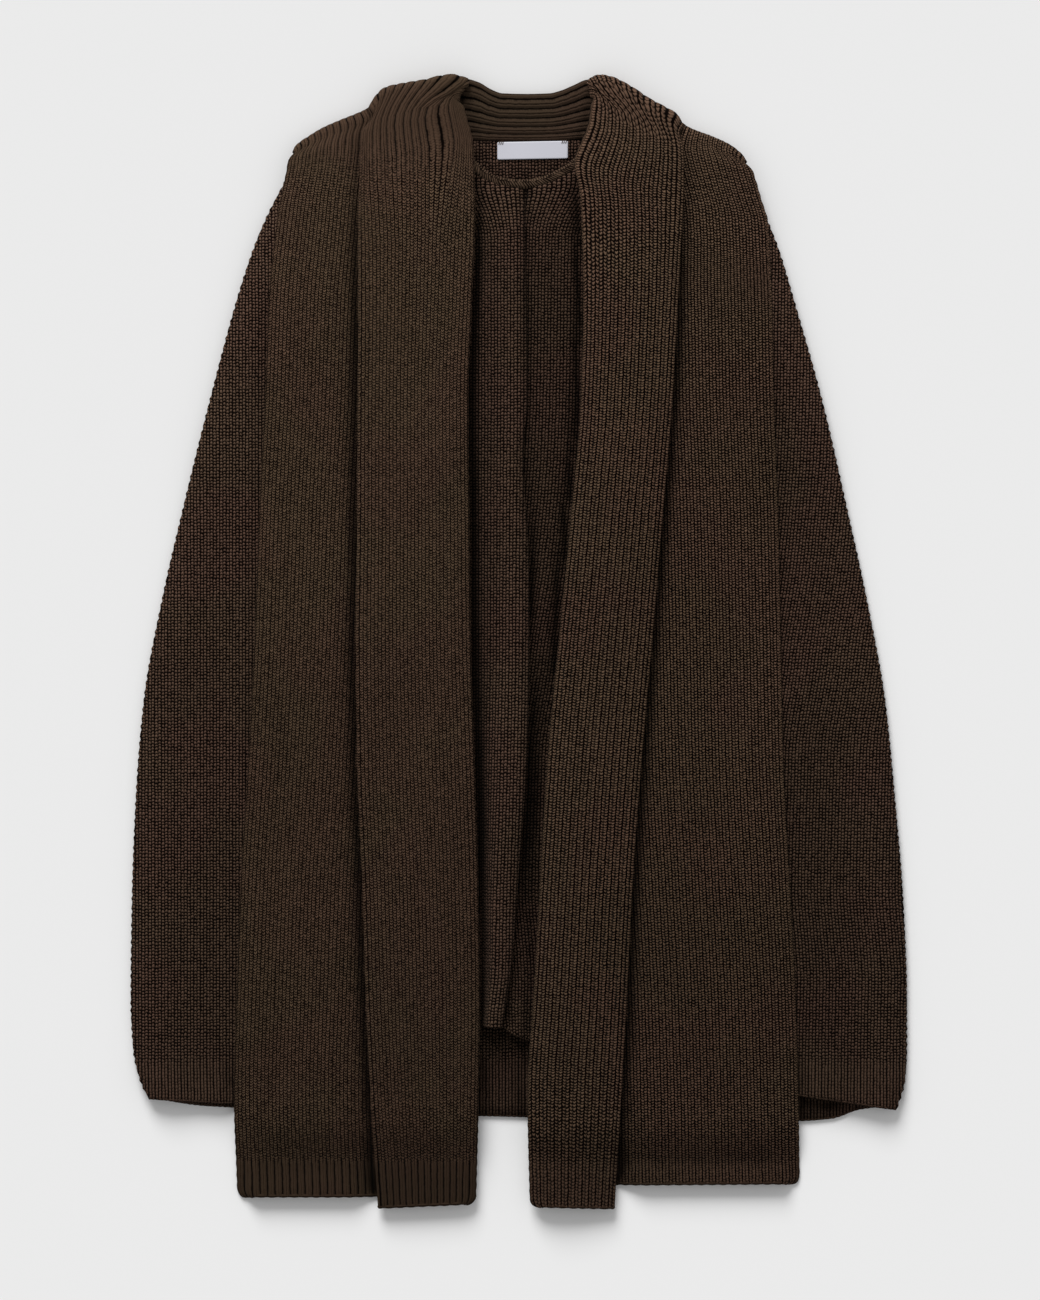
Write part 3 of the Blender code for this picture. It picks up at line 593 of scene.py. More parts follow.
RIGHT_END = {
    "rows": table(END_COLUMNS, [
        (58.0, 427.5, 394.0, 131.5, 186.5, 377.0, 394.0),
        (56.5, 415.0, 382.0, 132.0, 190.0, 366.0, 382.0),
        (51.5, 402.0, 370.0, 132.0, 193.5, 353.5, 370.0),
        (45.0, 384.0, 350.0, 131.5, 199.0, 335.0, 350.0),
        (50.0, 354.0, 322.0, 130.0, 200.5, 306.0, 322.0),
        (52.5, 274.0, 274.0, 127.5, 202.0, 274.0, 274.0),
        (50.5, 194.0, 194.0, 123.0, 203.5, 194.0, 194.0),
        (42.5, 98.0, 98.0, 115.0, 207.0, 98.0, 98.0),
        (33.0, 2.0, 2.0, 107.0, 209.0, 2.0, 2.0),
        (24.0, -94.0, -94.0, 98.5, 211.0, -94.0, -94.0),
        (18.0, -190.0, -190.0, 91.5, 216.0, -190.0, -190.0),
        (12.5, -286.0, -286.0, 86.5, 221.0, -286.0, -286.0),
        (8.0, -358.0, -358.0, 82.5, 223.0, -358.0, -358.0),
        (10.0, -451.0, -453.0, 77.0, 224.5, -433.0, -434.0),
    ]),
    "top": table(TOP_COLUMNS, [
        (0.00, 57.0, 436.0, 190.0, 13.5),
        (0.10, 56.0, 442.0, 180.0, 13.0),
        (0.20, 54.5, 448.0, 150.0, 11.0),
        (0.28, 58.5, 452.5, 120.0, 6.0),
        (0.36, 64.5, 454.5, 116.0, 1.5),
        (0.45, 73.0, 453.2, 112.0, 1.5),
        (0.58, 87.0, 447.0, 100.0, 1.5),
        (0.75, 106.0, 435.0, 90.0, 1.5),
        (0.88, 117.5, 429.0, 84.0, 1.5),
        (0.95, 126.0, 424.0, 74.0, 1.5),
        (1.00, 131.5, 416.5, 60.0, 1.5),
        (1.10, 137.0, 412.6, 76.0, 1.5),
        (1.50, 155.0, 405.6, 78.0, 1.5),
        (1.80, 168.5, 399.3, 76.0, 3.0),
        (1.95, 178.2, 391.8, 66.0, 7.0),
        (2.00, 183.0, 385.0, 48.0, 9.5),
    ]),
    "ribs": 12,
    "gathered_below": 260.0,
    "furrows": table("rib first top", [
        (0, 0.0, 0.0), (1, 0.12, 0.066), (2, 0.20, 0.142), (3, 0.28, 0.215), (4, 0.36, 0.286),
        (5, 0.435, 0.359), (6, 0.505, 0.435), (7, 0.584, 0.517), (8, 0.655, 0.60), (9, 0.73, 0.69),
        (10, 0.81, 0.787), (11, 0.90, 0.89), (12, 1.0, 1.0),
    ]),
    "folded_rise": 9.6,
    "lower_width": 165.0,
    "lower_ribs": 31,
    "crown": table("share rise", [
        (0.0, 0.8), (0.1, 1.08), (0.3, 1.24), (0.55, 1.16), (0.8, 0.95), (1.0, 0.74),
    ]),
    "ribs_stand": table("y top lower", [
        (455.0, 1.8, 1.2), (395.0, 1.5, 0.9), (300.0, 1.4, 0.7), (100.0, 1.5, 0.8),
        (-200.0, 1.6, 0.9), (-380.0, 1.6, 0.9), (-453.0, 1.6, 1.0),
    ]),
    "drops_from": -386.0,
}
print("rows in the tables:", len(LEFT_END["rows"]["y"]), len(RIGHT_END["rows"]["y"]))

# %% [markdown]
# The fold is worked out for each row in turn. A quarter of the fold's height is the radius of its two
# turns, so three layers of cloth lie on each other with no gap. The folds open towards the shoulder, where
# the scarf still lies in one layer round the neck.

# %% One row across a folded end
TURN_STEPS = 7
MIDDLE_STEPS = 5
LOWER_STEPS = (0.0, 0.12, 0.36, 0.64, 0.88)
FOLD_OPENS_FROM = 250.0
FOLD_OPENS_OVER = 150.0
FOLD_LOST_AT_TOP = 0.97
FOLD_MARGIN = 9.0
OPEN_RISE = 3.4
GATHERED_ABOVE = 400.0
DROP_LENGTH = 32.0
LOWER_SPRING = 2.6
SPRING_BY_FOLD = 26.0
SPRING_BY_EDGE = 14.0
HEM_LIFT = 5.0
HEM_LIFT_LENGTH = 30.0


def scarf_level(y, drops_from):
    resting = front_level(y) + SCARF_ABOVE_FRONT
    return blend(resting, WALL / 2, ease((drops_from - y) / DROP_LENGTH))


def lower_places(end):
    """Distances of the lower layer's columns from the outer edge, largest first, counted in ribs."""
    places = [rib + step for rib in range(end["lower_ribs"]) for step in LOWER_STEPS]
    return end["lower_ribs"] - np.array([*places, end["lower_ribs"]], dtype=float)


def end_row(end, y):
    """The points of one row, from the inner edge over both turns to the outer edge."""
    rows = end["rows"]
    at = {name: float(read(rows, name, "y", y)) for name in rows}
    inner = np.array((at["inner_x"], at["inner_y"]))
    fold = np.array((at["fold_x"], y))
    outer = np.array((at["outer_x"], at["outer_y"]))
    slip = np.array((0.0, at["under_y"] - y))
    width = np.linalg.norm(fold - inner)
    shown = np.linalg.norm(outer - fold - slip)
    over = (fold - inner) / width
    opened = ease((y - FOLD_OPENS_FROM) / FOLD_OPENS_OVER)
    rise = blend(end["folded_rise"], OPEN_RISE, opened)
    at_fold = rise * end["crown"]["rise"][-1]
    radius = at_fold / 4
    edge = width - radius - CLOTH / 2
    hidden = (1 - FOLD_LOST_AT_TOP * opened) * min(end["lower_width"] - shown, edge - FOLD_MARGIN)

    ribs = rib_columns(end["ribs"])
    gathered = ease((y - end["gathered_below"]) / (GATHERED_ABOVE - end["gathered_below"]))
    share = blend(ribs / end["ribs"], read(end["furrows"], "first", "rib", ribs), gathered)
    across = share * edge
    height = rise * read(end["crown"], "rise", "share", share)
    slips = np.zeros_like(across)

    turn = np.linspace(0, np.pi, TURN_STEPS + 1)[1:]
    middle = np.linspace(0, 1, MIDDLE_STEPS + 2)[1:-1]
    across = [across, edge + radius * np.sin(turn), edge - hidden * middle]
    across.append(edge - hidden - radius * np.sin(turn[:-1]))
    height = [height, at_fold - radius * (1 - np.cos(turn)), np.full(MIDDLE_STEPS, at_fold / 2)]
    height.append(at_fold / 2 - radius * (1 - np.cos(turn[:-1])))
    slips = [slips, 0 * turn, middle, np.ones(TURN_STEPS - 1)]
    across, height, slips = (np.concatenate(part) for part in (across, height, slips))
    places = inner + np.outer(across, over) + np.outer(slips, slip)

    from_edge = lower_places(end) / end["lower_ribs"] * end["lower_width"]
    beyond = np.clip(from_edge - shown, 0, None) * hidden / (end["lower_width"] - shown)
    lower = outer + np.outer(np.minimum(from_edge, shown) / shown, fold + slip - outer)
    lower -= np.outer(beyond, over)
    places = np.concatenate([places, lower])
    lift = LOWER_SPRING + HEM_LIFT * ease((rows["y"][-1] + HEM_LIFT_LENGTH - y) / HEM_LIFT_LENGTH)
    spring = lift * ease((shown - from_edge) / SPRING_BY_FOLD) * ease(from_edge / SPRING_BY_EDGE)
    height = np.concatenate([height, spring])
    level = scarf_level(places[:, 1], end["drops_from"])
    return np.column_stack([places, level + height])


print("points in a row:", len(end_row(LEFT_END, 0.0)))

# %% [markdown]
# At the top the cloth comes over from behind in a soft round turn. Its rows are worked out from the top's
# own table: each point swings round a half circle, from the height of the layers in front down to the table
# top behind. A few rows between the turn and the first straight row are bent like a bow, which keeps the
# ribs flowing.

# %% The turned top of an end
TURN_INSET = 9.0
TURN_ROWS = 11
ROUNDEST_TURN = 5.5
BOW_ROWS = 3
BOW_PULL = 0.35
PAST_FOLD = 0.02
BULK = 2.6
BULK_AT = 0.38
BULK_WIDTH = 0.22
BULK_ENDS = 1.2
STEP_AT = 1.05
STEP_WIDTH = 0.1


def end_shares(end, first):
    """Where each column starts on the top's outline, as a share."""
    top = read(end["furrows"], "top", "rib", rib_columns(end["ribs"]))
    hidden = np.linspace(1.0, 1.0 + PAST_FOLD, TURN_STEPS + MIDDLE_STEPS + TURN_STEPS - 1 + 2)[1:-1]
    shown = np.linalg.norm(first[-1, :2] - first[len(top) - 1, :2])
    reached = lower_places(end) / end["lower_ribs"] * end["lower_width"] / shown
    lower = 2 - (1 - 2 * PAST_FOLD) * np.clip(reached, 0, 1) - PAST_FOLD * np.clip(reached - 1, 0, 1)
    return np.concatenate([top, hidden, lower])


def end_top(end, first, second):
    share = end_shares(end, first)
    top = end["top"]
    x, y, lean, low = (read(top, name, "share", share) for name in ("x", "y", "lean", "low"))
    lean = np.radians(lean)
    facing_out = np.column_stack([np.cos(lean), np.sin(lean)])
    outline = np.column_stack([x, y])
    bulk = BULK * np.exp(-(((share - BULK_AT) / BULK_WIDTH) ** 2)) * (share < BULK_ENDS)
    step = OPEN_RISE * ease((STEP_AT - share) / STEP_WIDTH)
    high = front_level(LIFT_STARTS) + SCARF_ABOVE_FRONT + step + bulk
    radius = (high - low) / 2
    rows = [np.column_stack([outline - facing_out * TURN_INSET, low])]
    for turn in np.linspace(np.pi, 0, TURN_ROWS):
        inset = WALL / 2 + np.minimum(radius, ROUNDEST_TURN) * (1 - np.sin(turn))
        place = outline - facing_out * inset[:, None]
        rows.append(np.column_stack([place, low + radius * (1 + np.cos(turn))]))
    start = rows[-1]
    reach = np.linalg.norm(first - start, axis=1, keepdims=True)
    leave = np.column_stack([-facing_out, np.zeros(len(share))])
    arrive = (first - second) / np.maximum(np.linalg.norm(first - second, axis=1, keepdims=True), 1e-9)
    for t in np.linspace(0, 1, BOW_ROWS + 2)[1:-1]:
        bow = start * (1 - t) ** 3 + first * t**3
        bow += 3 * t * (1 - t) ** 2 * (start + leave * reach * BOW_PULL)
        bow += 3 * t * t * (1 - t) * (first + arrive * reach * BOW_PULL)
        rows.append(bow)
    return rows


print("rows in the turn and the bow:", 1 + TURN_ROWS + BOW_ROWS)

# %% [markdown]
# Both ends are made by one function. The rib relief is strongest at the shoulder, where the cloth is
# stretched over its turn, and it sinks lower down. The corners of the hem are rounded, because a knitted
# corner curls in a little.

# %% Make both ends
ROW_STEP = 5.8
HEM_STEPS = (3.0, 1.6, 0.7, 0.0)
CORNER = 6.0
CORNER_COLUMNS = 9.0
LEAST_ON_EDGE = 0.4
ROOM_FOR_RIB = 0.7


def end_grid(end):
    levels = np.arange(end["rows"]["y"][0], end["rows"]["y"][-1], -ROW_STEP)
    levels = np.linspace(levels[0], end["rows"]["y"][-1], len(levels) + 1)
    levels = np.concatenate([levels[:-1], levels[-1] + np.array(HEM_STEPS)])
    flat = [end_row(end, y) for y in levels]
    grid = np.array([*end_top(end, flat[0], flat[1]), *flat])
    ribs = end["ribs"] * len(RIB_STEPS) + 1
    lower = end["lower_ribs"] * len(LOWER_STEPS) + 1
    above_hem = grid[-1, :, 1] - grid[:, :, 1]
    inset = CORNER - np.sqrt(np.maximum(CORNER**2 - np.clip(CORNER + above_hem, 0, CORNER) ** 2, 0))
    side = np.sign(end["rows"]["inner_x"][0])
    columns = np.arange(grid.shape[1])
    grid[:, :, 0] += side * inset * np.exp(-((columns / CORNER_COLUMNS) ** 2))
    grid[:, :, 0] -= side * inset * np.exp(-(((columns[-1] - columns) / CORNER_COLUMNS) ** 2))
    return grid, ribs, lower


def end_places(end):
    """Each column's distance in ribs: over the top layer, round both turns and out along the lower layer."""
    top = end["ribs"]
    under = end["lower_ribs"]
    turn = np.linspace(0, 1, TURN_STEPS + 1)[1:]
    middle = np.linspace(top + 1, under - 1, MIDDLE_STEPS + 2)[1:-1]
    return np.concatenate([rib_columns(top), top + turn, middle, under - turn[:0:-1], lower_places(end)])


def end_relief(end, grid, ribs, lower):
    places = end_places(end)
    height = np.zeros(grid.shape[:2])
    stand = end["ribs_stand"]
    height[:, :ribs] = rib_profile(places[:ribs]) * read(stand, "top", "y", grid[:, :ribs, 1])
    height[:, -lower:] = rib_profile(places[-lower:]) * read(stand, "lower", "y", grid[:, -lower:, 1])
    room = np.linalg.norm(np.gradient(grid, axis=1), axis=2)
    behind = np.ones(len(grid))
    behind[: TURN_ROWS // 2 + 1] = np.linspace(0, 1, TURN_ROWS // 2 + 1)
    on_edge = LEAST_ON_EDGE + (1 - LEAST_ON_EDGE) * np.abs(facing(grid)[:, :, 2])
    return height * on_edge * np.clip(room / ROOM_FOR_RIB, 0, 1) * behind[:, None], places


def along_rows(grid):
    """Count the rows of stitches down each column, from the top of the turn."""
    steps = np.linalg.norm(np.diff(grid, axis=0), axis=2)
    shared = np.median(steps, axis=1)
    return np.concatenate([[0], np.cumsum(shared)])[:, None] / ROW_PITCH * np.ones(grid.shape[1])


def make_end(name, end, node, finish):
    grid, ribs, lower = end_grid(end)
    relief, places = end_relief(end, grid, ribs, lower)
    raised = grid + facing(grid) * relief[:, :, None]
    wales = np.tile(places * WALES_IN_RIB, (len(grid), 1))
    piece = thicken(add_grid(name, raised, wales, along_rows(grid), finish), CLOTH)
    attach(piece, "root")
    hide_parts(node)
    print(name, "has a grid of", grid.shape[0], "by", grid.shape[1])
    return piece, raised


left_end, left_points = make_end("left_scarf_end", LEFT_END, "scarf_left", scarf_knit)
right_end, right_points = make_end("right_scarf_end", RIGHT_END, "scarf_right", ribbed_knit)

# %% [markdown]
# ## The stand at the back neck
#
# Between its two ends the scarf stands up behind the neck. It is sewn on along its lower edge, goes up over
# its ribs, turns over at the top and goes down behind. Its ribs run across, and they sag a little in the
# middle. The stand goes on under both ends, so no gap shows where they meet.

# %% Make the stand
STAND_TOP = table("x y", [
    (-56.0, 448.0), (-42.0, 451.0), (-32.5, 448.5), (-23.0, 443.0), (-13.0, 439.5), (6.0, 439.0),
    (25.0, 439.5), (35.0, 442.0), (44.5, 446.0), (56.0, 450.5), (70.0, 449.0),
])
STAND_SEAM = table("x y", [
    (-60.0, 404.5), (-36.0, 402.5), (-14.0, 402.0), (6.0, 401.8), (30.0, 402.3), (50.0, 403.5),
    (72.0, 405.5),
])
STAND_RIBS = 5
STAND_RIB_RISE = 1.7
STAND_WIDENING = 1.2
STAND_RADIUS = 3.4
STAND_ENDS_TOP = (-54, 68)
STAND_ENDS_SEAM = (-58, 71)
STAND_COLUMNS = 62
STAND_TURN_ROWS = 10
STAND_FOOT = 0.9
STAND_TUCK = 4.0


def stand_grid():
    rows = []
    x_top = np.linspace(*STAND_ENDS_TOP, STAND_COLUMNS)
    x_seam = np.linspace(*STAND_ENDS_SEAM, STAND_COLUMNS)
    top = read(STAND_TOP, "y", "x", x_top) - STAND_RADIUS - CLOTH / 2
    seam = read(STAND_SEAM, "y", "x", x_seam)
    high = WALL / 2 + 2 * STAND_RADIUS
    low = float(back_level(LIFT_STARTS)) + STAND_FOOT
    for place in rib_columns(STAND_RIBS):
        up = (place / STAND_RIBS) ** STAND_WIDENING
        level = blend(low, high, ease(up))
        rows.append(np.column_stack([blend(x_seam, x_top, up), blend(seam, top, up), level + 0 * top]))
    for turn in np.linspace(0, np.pi, STAND_TURN_ROWS)[1:]:
        level = WALL / 2 + STAND_RADIUS * (1 + math.cos(turn))
        rows.append(np.column_stack([x_top, top + STAND_RADIUS * math.sin(turn), level + 0 * top]))
    rows.append(np.column_stack([x_top, top - STAND_TUCK, 0 * top + WALL / 2]))
    return np.array(rows)


stand_points = stand_grid()
behind_places = STAND_RIBS + np.linspace(0, 2, STAND_TURN_ROWS + 1)[1:]
stand_places = np.concatenate([rib_columns(STAND_RIBS), behind_places])
stand_relief = rib_profile(stand_places) * STAND_RIB_RISE
stand_relief[-3:] = 0.0
stand_raised = stand_points + facing(stand_points) * stand_relief[:, None, None]
stand_wales = np.repeat(stand_places[:, None] * WALES_IN_RIB, stand_points.shape[1], axis=1)
stand_rows = stand_points[:, :, 0] / ROW_PITCH
# The stand's knit is a shaded copy of the scarf's: its darker yarn is painted shade for where it stands
# behind the neck.
STAND_SHADED_YARN = (0.084, 0.054, 0.036)
stand_knit = knit_material("stand_knit_shaded_finish", SCARF_GAP_SHADE, STAND_SHADED_YARN, {**SCARF_LOOK, "plain_inner": 0.5})
stand = add_grid("neck_stand", stand_raised, stand_wales, stand_rows, stand_knit)
thicken(stand, CLOTH)
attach(stand, "root")
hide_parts("scarf_stand")
print("stand:", stand_points.shape)

# %% [markdown]
# ## Front and back panels
#
# The front is one closed panel. Its side edges roll over the edges of the back, which gives the cape its
# soft round sides. Down its middle it has a fold, which starts as a faint step under the neck and grows into
# an overlap of three layers at the hem. The same turn, run and turn back make that fold.

# %% Outlines of the panels
BODY_EDGES = table("y left right", [
    (390.0, -177.0, 179.0), (367.0, -188.5, 187.0), (339.5, -202.5, 199.0), (314.0, -213.0, 209.0),
    (274.0, -226.0, 221.0), (194.0, -247.5, 243.5), (114.0, -267.5, 262.0), (34.0, -286.0, 279.5),
    (-46.0, -300.5, 294.0), (-126.0, -307.0, 302.0), (-206.0, -310.0, 308.5), (-286.0, -311.0, 311.5),
    (-326.0, -309.0, 311.5), (-350.0, -303.5, 310.0), (-374.0, -291.0, 303.0),
])
SHOULDERS = table("x y", [(-177.0, 389.0), (-53.0, 408.5), (67.0, 407.0), (179.0, 380.5)])
NECKLINE = table("x y", [
    (-52.0, 398.0), (-45.0, 388.0), (-38.5, 380.0), (-28.0, 371.5), (-15.5, 366.0), (4.5, 363.8),
    (21.5, 366.8), (34.5, 372.5), (45.5, 379.0), (53.5, 388.0), (63.0, 400.0),
])
BACK_NECK = table("x y", [
    (-51.0, 409.0), (-37.0, 403.0), (-19.0, 401.0), (3.5, 400.0), (30.0, 401.0), (54.0, 403.0),
    (65.0, 408.0),
])
FRONT_HEM = table("x y", [
    (-297.0, -365.0), (-267.0, -367.0), (-225.0, -369.0), (-151.0, -354.0), (-79.0, -323.0),
    (-31.0, -307.0), (-12.5, -308.0), (-5.0, -313.0), (9.0, -319.5), (65.0, -334.0),
    (145.0, -351.5), (225.0, -363.0), (281.0, -371.0), (303.0, -374.0),
])
BACK_HEM = table("x y", [
    (-297.0, -363.5), (-251.0, -371.0), (-135.0, -375.5), (-31.0, -379.0), (113.0, -382.0),
    (225.0, -383.0), (253.0, -381.0), (273.0, -374.0), (297.0, -371.0),
])
MIDDLE_FOLD = table("y x degrees overlap", [
    (363.0, 4.5, 20.0, 0.0), (330.0, 5.0, 80.0, 0.0), (194.0, 7.0, 105.0, 0.0),
    (152.0, 4.0, 120.0, 0.5), (58.0, 8.5, 160.0, 2.0), (-14.0, 9.0, 180.0, 5.0),
    (-89.0, 7.0, 180.0, 9.0), (-196.0, -0.5, 180.0, 8.0), (-250.0, -4.5, 180.0, 5.0),
    (-308.0, -13.0, 180.0, 2.0),
])
CURL = FRONT_ABOVE_BACK / 2
BODY_WALE = 2.6
BODY_ROW = 2.6
PANEL_STEP = 2.7


def top_of(x, neck):
    shoulder = np.interp(x, SHOULDERS["x"], SHOULDERS["y"])
    inside = (x > neck["x"][0]) & (x < neck["x"][-1])
    return np.where(inside, curve_through(neck["x"], neck["y"], x), shoulder)


# %% [markdown]
# A row of the front is worked out from left to right: the roll of the left edge, the flat side, the rise to
# the middle fold, the fold, the other flat side and the roll of the right edge. The sides are padded out a
# little next to their rolls, as thick knitting springs up beside a fold.

# %% One row across the front
CURL_STEPS = 7
LEFT_SHARES = np.linspace(0, 1, 40)
RISE_SHARES = np.linspace(1, 0, 18)[1:]
RIGHT_SHARES = np.linspace(0, 1, 42)[1:]
SPRING = 2.4
MIDDLE_SPRING = 2.8
FRONT_HEM_LIFT = 4.5
FRONT_HEM_LENGTH = 45.0
COVER_MARGIN = 14.0
LEAST_OVERLAP = 0.6
FOLD_TURN_TOP = 1.9
FOLD_TURN_HEM = 3.0
FOLD_GROWS_FROM = 155.0
FOLD_GROWS_OVER = 463.0
FOLD_TURN_STEPS = 8
CREST_MARGIN = 2.0
CREST_OVERSHOOT = 0.2
VALLEY_BESIDE_SCARF = 3.2
SPRING_STARTS = 9.0
SPRING_ENDS = 38.0
SPRING_FADES = 30.0
CLEAR_OF_SCARF = 2.0
LEFT_SLOPES = (14.0, 9.0)
RIGHT_SLOPES = (10.0, 12.0)


def middle_fold(y):
    """The fold from its upper edge to its foot, as steps across, heights and the reach of its edge."""
    angle = math.radians(float(read(MIDDLE_FOLD, "degrees", "y", y)))
    overlap = max(float(read(MIDDLE_FOLD, "overlap", "y", y)), LEAST_OVERLAP)
    grown = ease((FOLD_GROWS_FROM - y) / FOLD_GROWS_OVER)
    radius = float(blend(FOLD_TURN_TOP, FOLD_TURN_HEM, grown))
    heading = np.linspace(0, angle, FOLD_TURN_STEPS)[1:]
    across = [radius * np.sin(heading)]
    height = [-radius * (1 - np.cos(heading))]
    share = np.array((0.5, 1.0))
    across.append(across[0][-1] + overlap * share * math.cos(angle))
    height.append(height[0][-1] - overlap * share * math.sin(angle))
    back = np.linspace(angle, 0, FOLD_TURN_STEPS)[1:]
    across.append(across[1][-1] + radius * (math.sin(angle) - np.sin(back)))
    height.append(height[1][-1] - radius * (np.cos(back) - math.cos(angle)))
    across = np.concatenate(across)
    height = np.concatenate(height)
    reach = (radius + CLOTH / 2) * math.sin(min(angle, math.pi / 2))
    return across, height - height[-1], reach, overlap + radius + CREST_MARGIN


def front_row(y):
    across, height, reach, crest = middle_fold(y)
    edge = float(read(MIDDLE_FOLD, "x", "y", y)) - reach
    top = height[0] + (height[0] - height[1]) * CREST_OVERSHOOT
    left = float(read(BODY_EDGES, "left", "y", y)) + WALL / 2 + CURL
    right = float(read(BODY_EDGES, "right", "y", y)) - WALL / 2 - CURL
    valley = float(read(LEFT_END["rows"], "inner_x", "y", y)) + VALLEY_BESIDE_SCARF
    turn = np.linspace(np.pi, 0, CURL_STEPS + 1)[:-1]
    x = [left - CURL * np.sin(turn), blend(left, valley, LEFT_SHARES)]
    z = [CURL * (np.cos(turn) - 1), 0 * LEFT_SHARES]
    back = RISE_SHARES * (edge - valley)
    fallen = ease((back - crest) / max(edge - valley - crest, 1.0))
    x += [edge - back, edge + across]
    z += [top * (1 - fallen), height]
    x.append(blend(x[-1][-1], right, RIGHT_SHARES))
    z.append(0 * RIGHT_SHARES)
    x.append(right + CURL * np.sin(turn[::-1]))
    z.append(CURL * (np.cos(turn[::-1]) - 1))
    x = np.concatenate(x)
    z = np.concatenate(z)
    beside = np.minimum(x - left, right - x)
    z += SPRING * ease(beside / SPRING_STARTS) * ease((SPRING_ENDS - beside) / SPRING_FADES)
    scarf_right = float(read(RIGHT_END["rows"], "inner_x", "y", y)) - CLEAR_OF_SCARF
    from_left = (x - valley + CLEAR_OF_SCARF, edge + reach - x)
    from_right = (x - edge - reach, scarf_right - x)
    for (near, far), (rises, falls) in ((from_left, LEFT_SLOPES), (from_right, RIGHT_SLOPES)):
        z += MIDDLE_SPRING * ease(near / rises) * ease(far / falls)
    return x, z


print("points in a row of the front:", len(front_row(0.0)[0]))

# %% [markdown]
# A panel is level in its middle, and its first and last rows follow the neck and the hem. Where its columns
# start and end depends on their own sideways place, so a few rounds of guessing settle it. The hem lifts a
# little where no scarf lies on it.

# %% Lay out the front
TOP_LEVEL_ROW = 300.0
LOW_LEVEL_ROW = -280.0
ROWS_AT_AN_END = 30
FIRST_TOP = 380.0
FIRST_HEM = -330.0
ROUNDS = 6
SECTION_LEVELS = np.arange(420.0, -400.0, -2.0)


def panel_rows(top, hem):
    """Rows that follow the neck and the hem at the ends of a panel and are level between them."""
    share = np.linspace(0, 1, ROWS_AT_AN_END)
    upper = blend(top, TOP_LEVEL_ROW, share[:-1, None])
    levels = np.arange(TOP_LEVEL_ROW, LOW_LEVEL_ROW, -PANEL_STEP)
    level = np.repeat(levels[:, None], len(top), axis=1)
    lower = blend(LOW_LEVEL_ROW, hem, share[:, None])
    return np.concatenate([upper, level, lower])


def covered(end, x, y):
    """One where an end of the scarf lies on the front, and zero a little beyond its edges."""
    inner = read(end["rows"], "inner_x", "y", y)
    outer = read(end["rows"], "outer_x", "y", y)
    inside = np.abs(outer - inner) / 2 - np.abs(x - (inner + outer) / 2)
    return ease((inside + COVER_MARGIN) / COVER_MARGIN)


def front_grid():
    columns = len(front_row(0.0)[0])
    top = np.full(columns, FIRST_TOP)
    hem = np.full(columns, FIRST_HEM)
    for _ in range(ROUNDS):
        x_top = np.array([front_row(y)[0][at] for at, y in enumerate(top)])
        x_hem = np.array([front_row(y)[0][at] for at, y in enumerate(hem)])
        top = top_of(x_top, NECKLINE)
        hem = read(FRONT_HEM, "y", "x", x_hem)
    y = panel_rows(top, hem)
    sections = [front_row(level) for level in SECTION_LEVELS]
    x_all = np.array([section[0] for section in sections])
    z_all = np.array([section[1] for section in sections])
    x = np.column_stack([np.interp(-y[:, at], -SECTION_LEVELS, x_all[:, at]) for at in range(columns)])
    z = np.column_stack([np.interp(-y[:, at], -SECTION_LEVELS, z_all[:, at]) for at in range(columns)])
    free = 1 - np.maximum(covered(LEFT_END, x, y), covered(RIGHT_END, x, y))
    z += FRONT_HEM_LIFT * free * ease((FRONT_HEM_LENGTH - (y - y[-1])) / FRONT_HEM_LENGTH)
    return np.stack([x, y, z + front_level(y)], axis=-1)


def add_creases(grid, creases):
    """Press soft troughs, or ridges where the depth is below zero, along lines on the cloth."""
    for x0, y0, x1, y1, half_width, depth in zip(*(creases[name] for name in creases)):
        start = np.array((x0, y0))
        line = np.array((x1, y1)) - start
        from_start = grid[:, :, :2] - start
        share = np.clip(from_start @ line / (line @ line), 0, 1)
        away = np.linalg.norm(from_start - share[..., None] * line, axis=2)
        taper = np.sin(np.pi * np.clip(share, 0.02, 0.98)) ** 0.5
        grid[:, :, 2] -= depth * taper * np.exp(-((away / half_width) ** 2))


FRONT_CREASES = table("x0 y0 x1 y1 half_width depth", [
    (-232.0, 230.0, -262.0, -60.0, 9.0, 0.8),
    (-240.0, 20.0, -250.0, -340.0, 12.0, 1.0),
    (-285.0, -120.0, -290.0, -350.0, 10.0, -0.8),
    (232.0, 180.0, 250.0, -20.0, 9.0, 0.8),
    (236.0, -20.0, 246.0, -350.0, 13.0, 1.6),
    (285.0, -60.0, 292.0, -340.0, 11.0, -1.0),
    (24.0, 350.0, 30.0, 120.0, 7.0, 0.8),
    (-18.0, 355.0, -20.0, 180.0, 6.0, -0.6),
])
front_points = front_grid()
add_creases(front_points, FRONT_CREASES)
print("front:", front_points.shape)

# %% [markdown]
# The stitches of the body stay the same size everywhere, so their map is counted from the cloth itself:
# across, by the length of cloth that lies between the columns, and along, by the height on the cape. Below
# the neckline the wales bend in towards the middle fold.

# %% Make the front
def body_stitches(grid, zero_column):
    steps = np.linalg.norm(np.diff(grid[:, :, [0, 2]], axis=1), axis=2)
    across = np.concatenate([np.zeros((len(grid), 1)), np.cumsum(steps, axis=1)], axis=1)
    across -= across[:, zero_column : zero_column + 1]
    across += grid[:, zero_column : zero_column + 1, 0]
    return across / BODY_WALE, grid[:, :, 1] / BODY_ROW


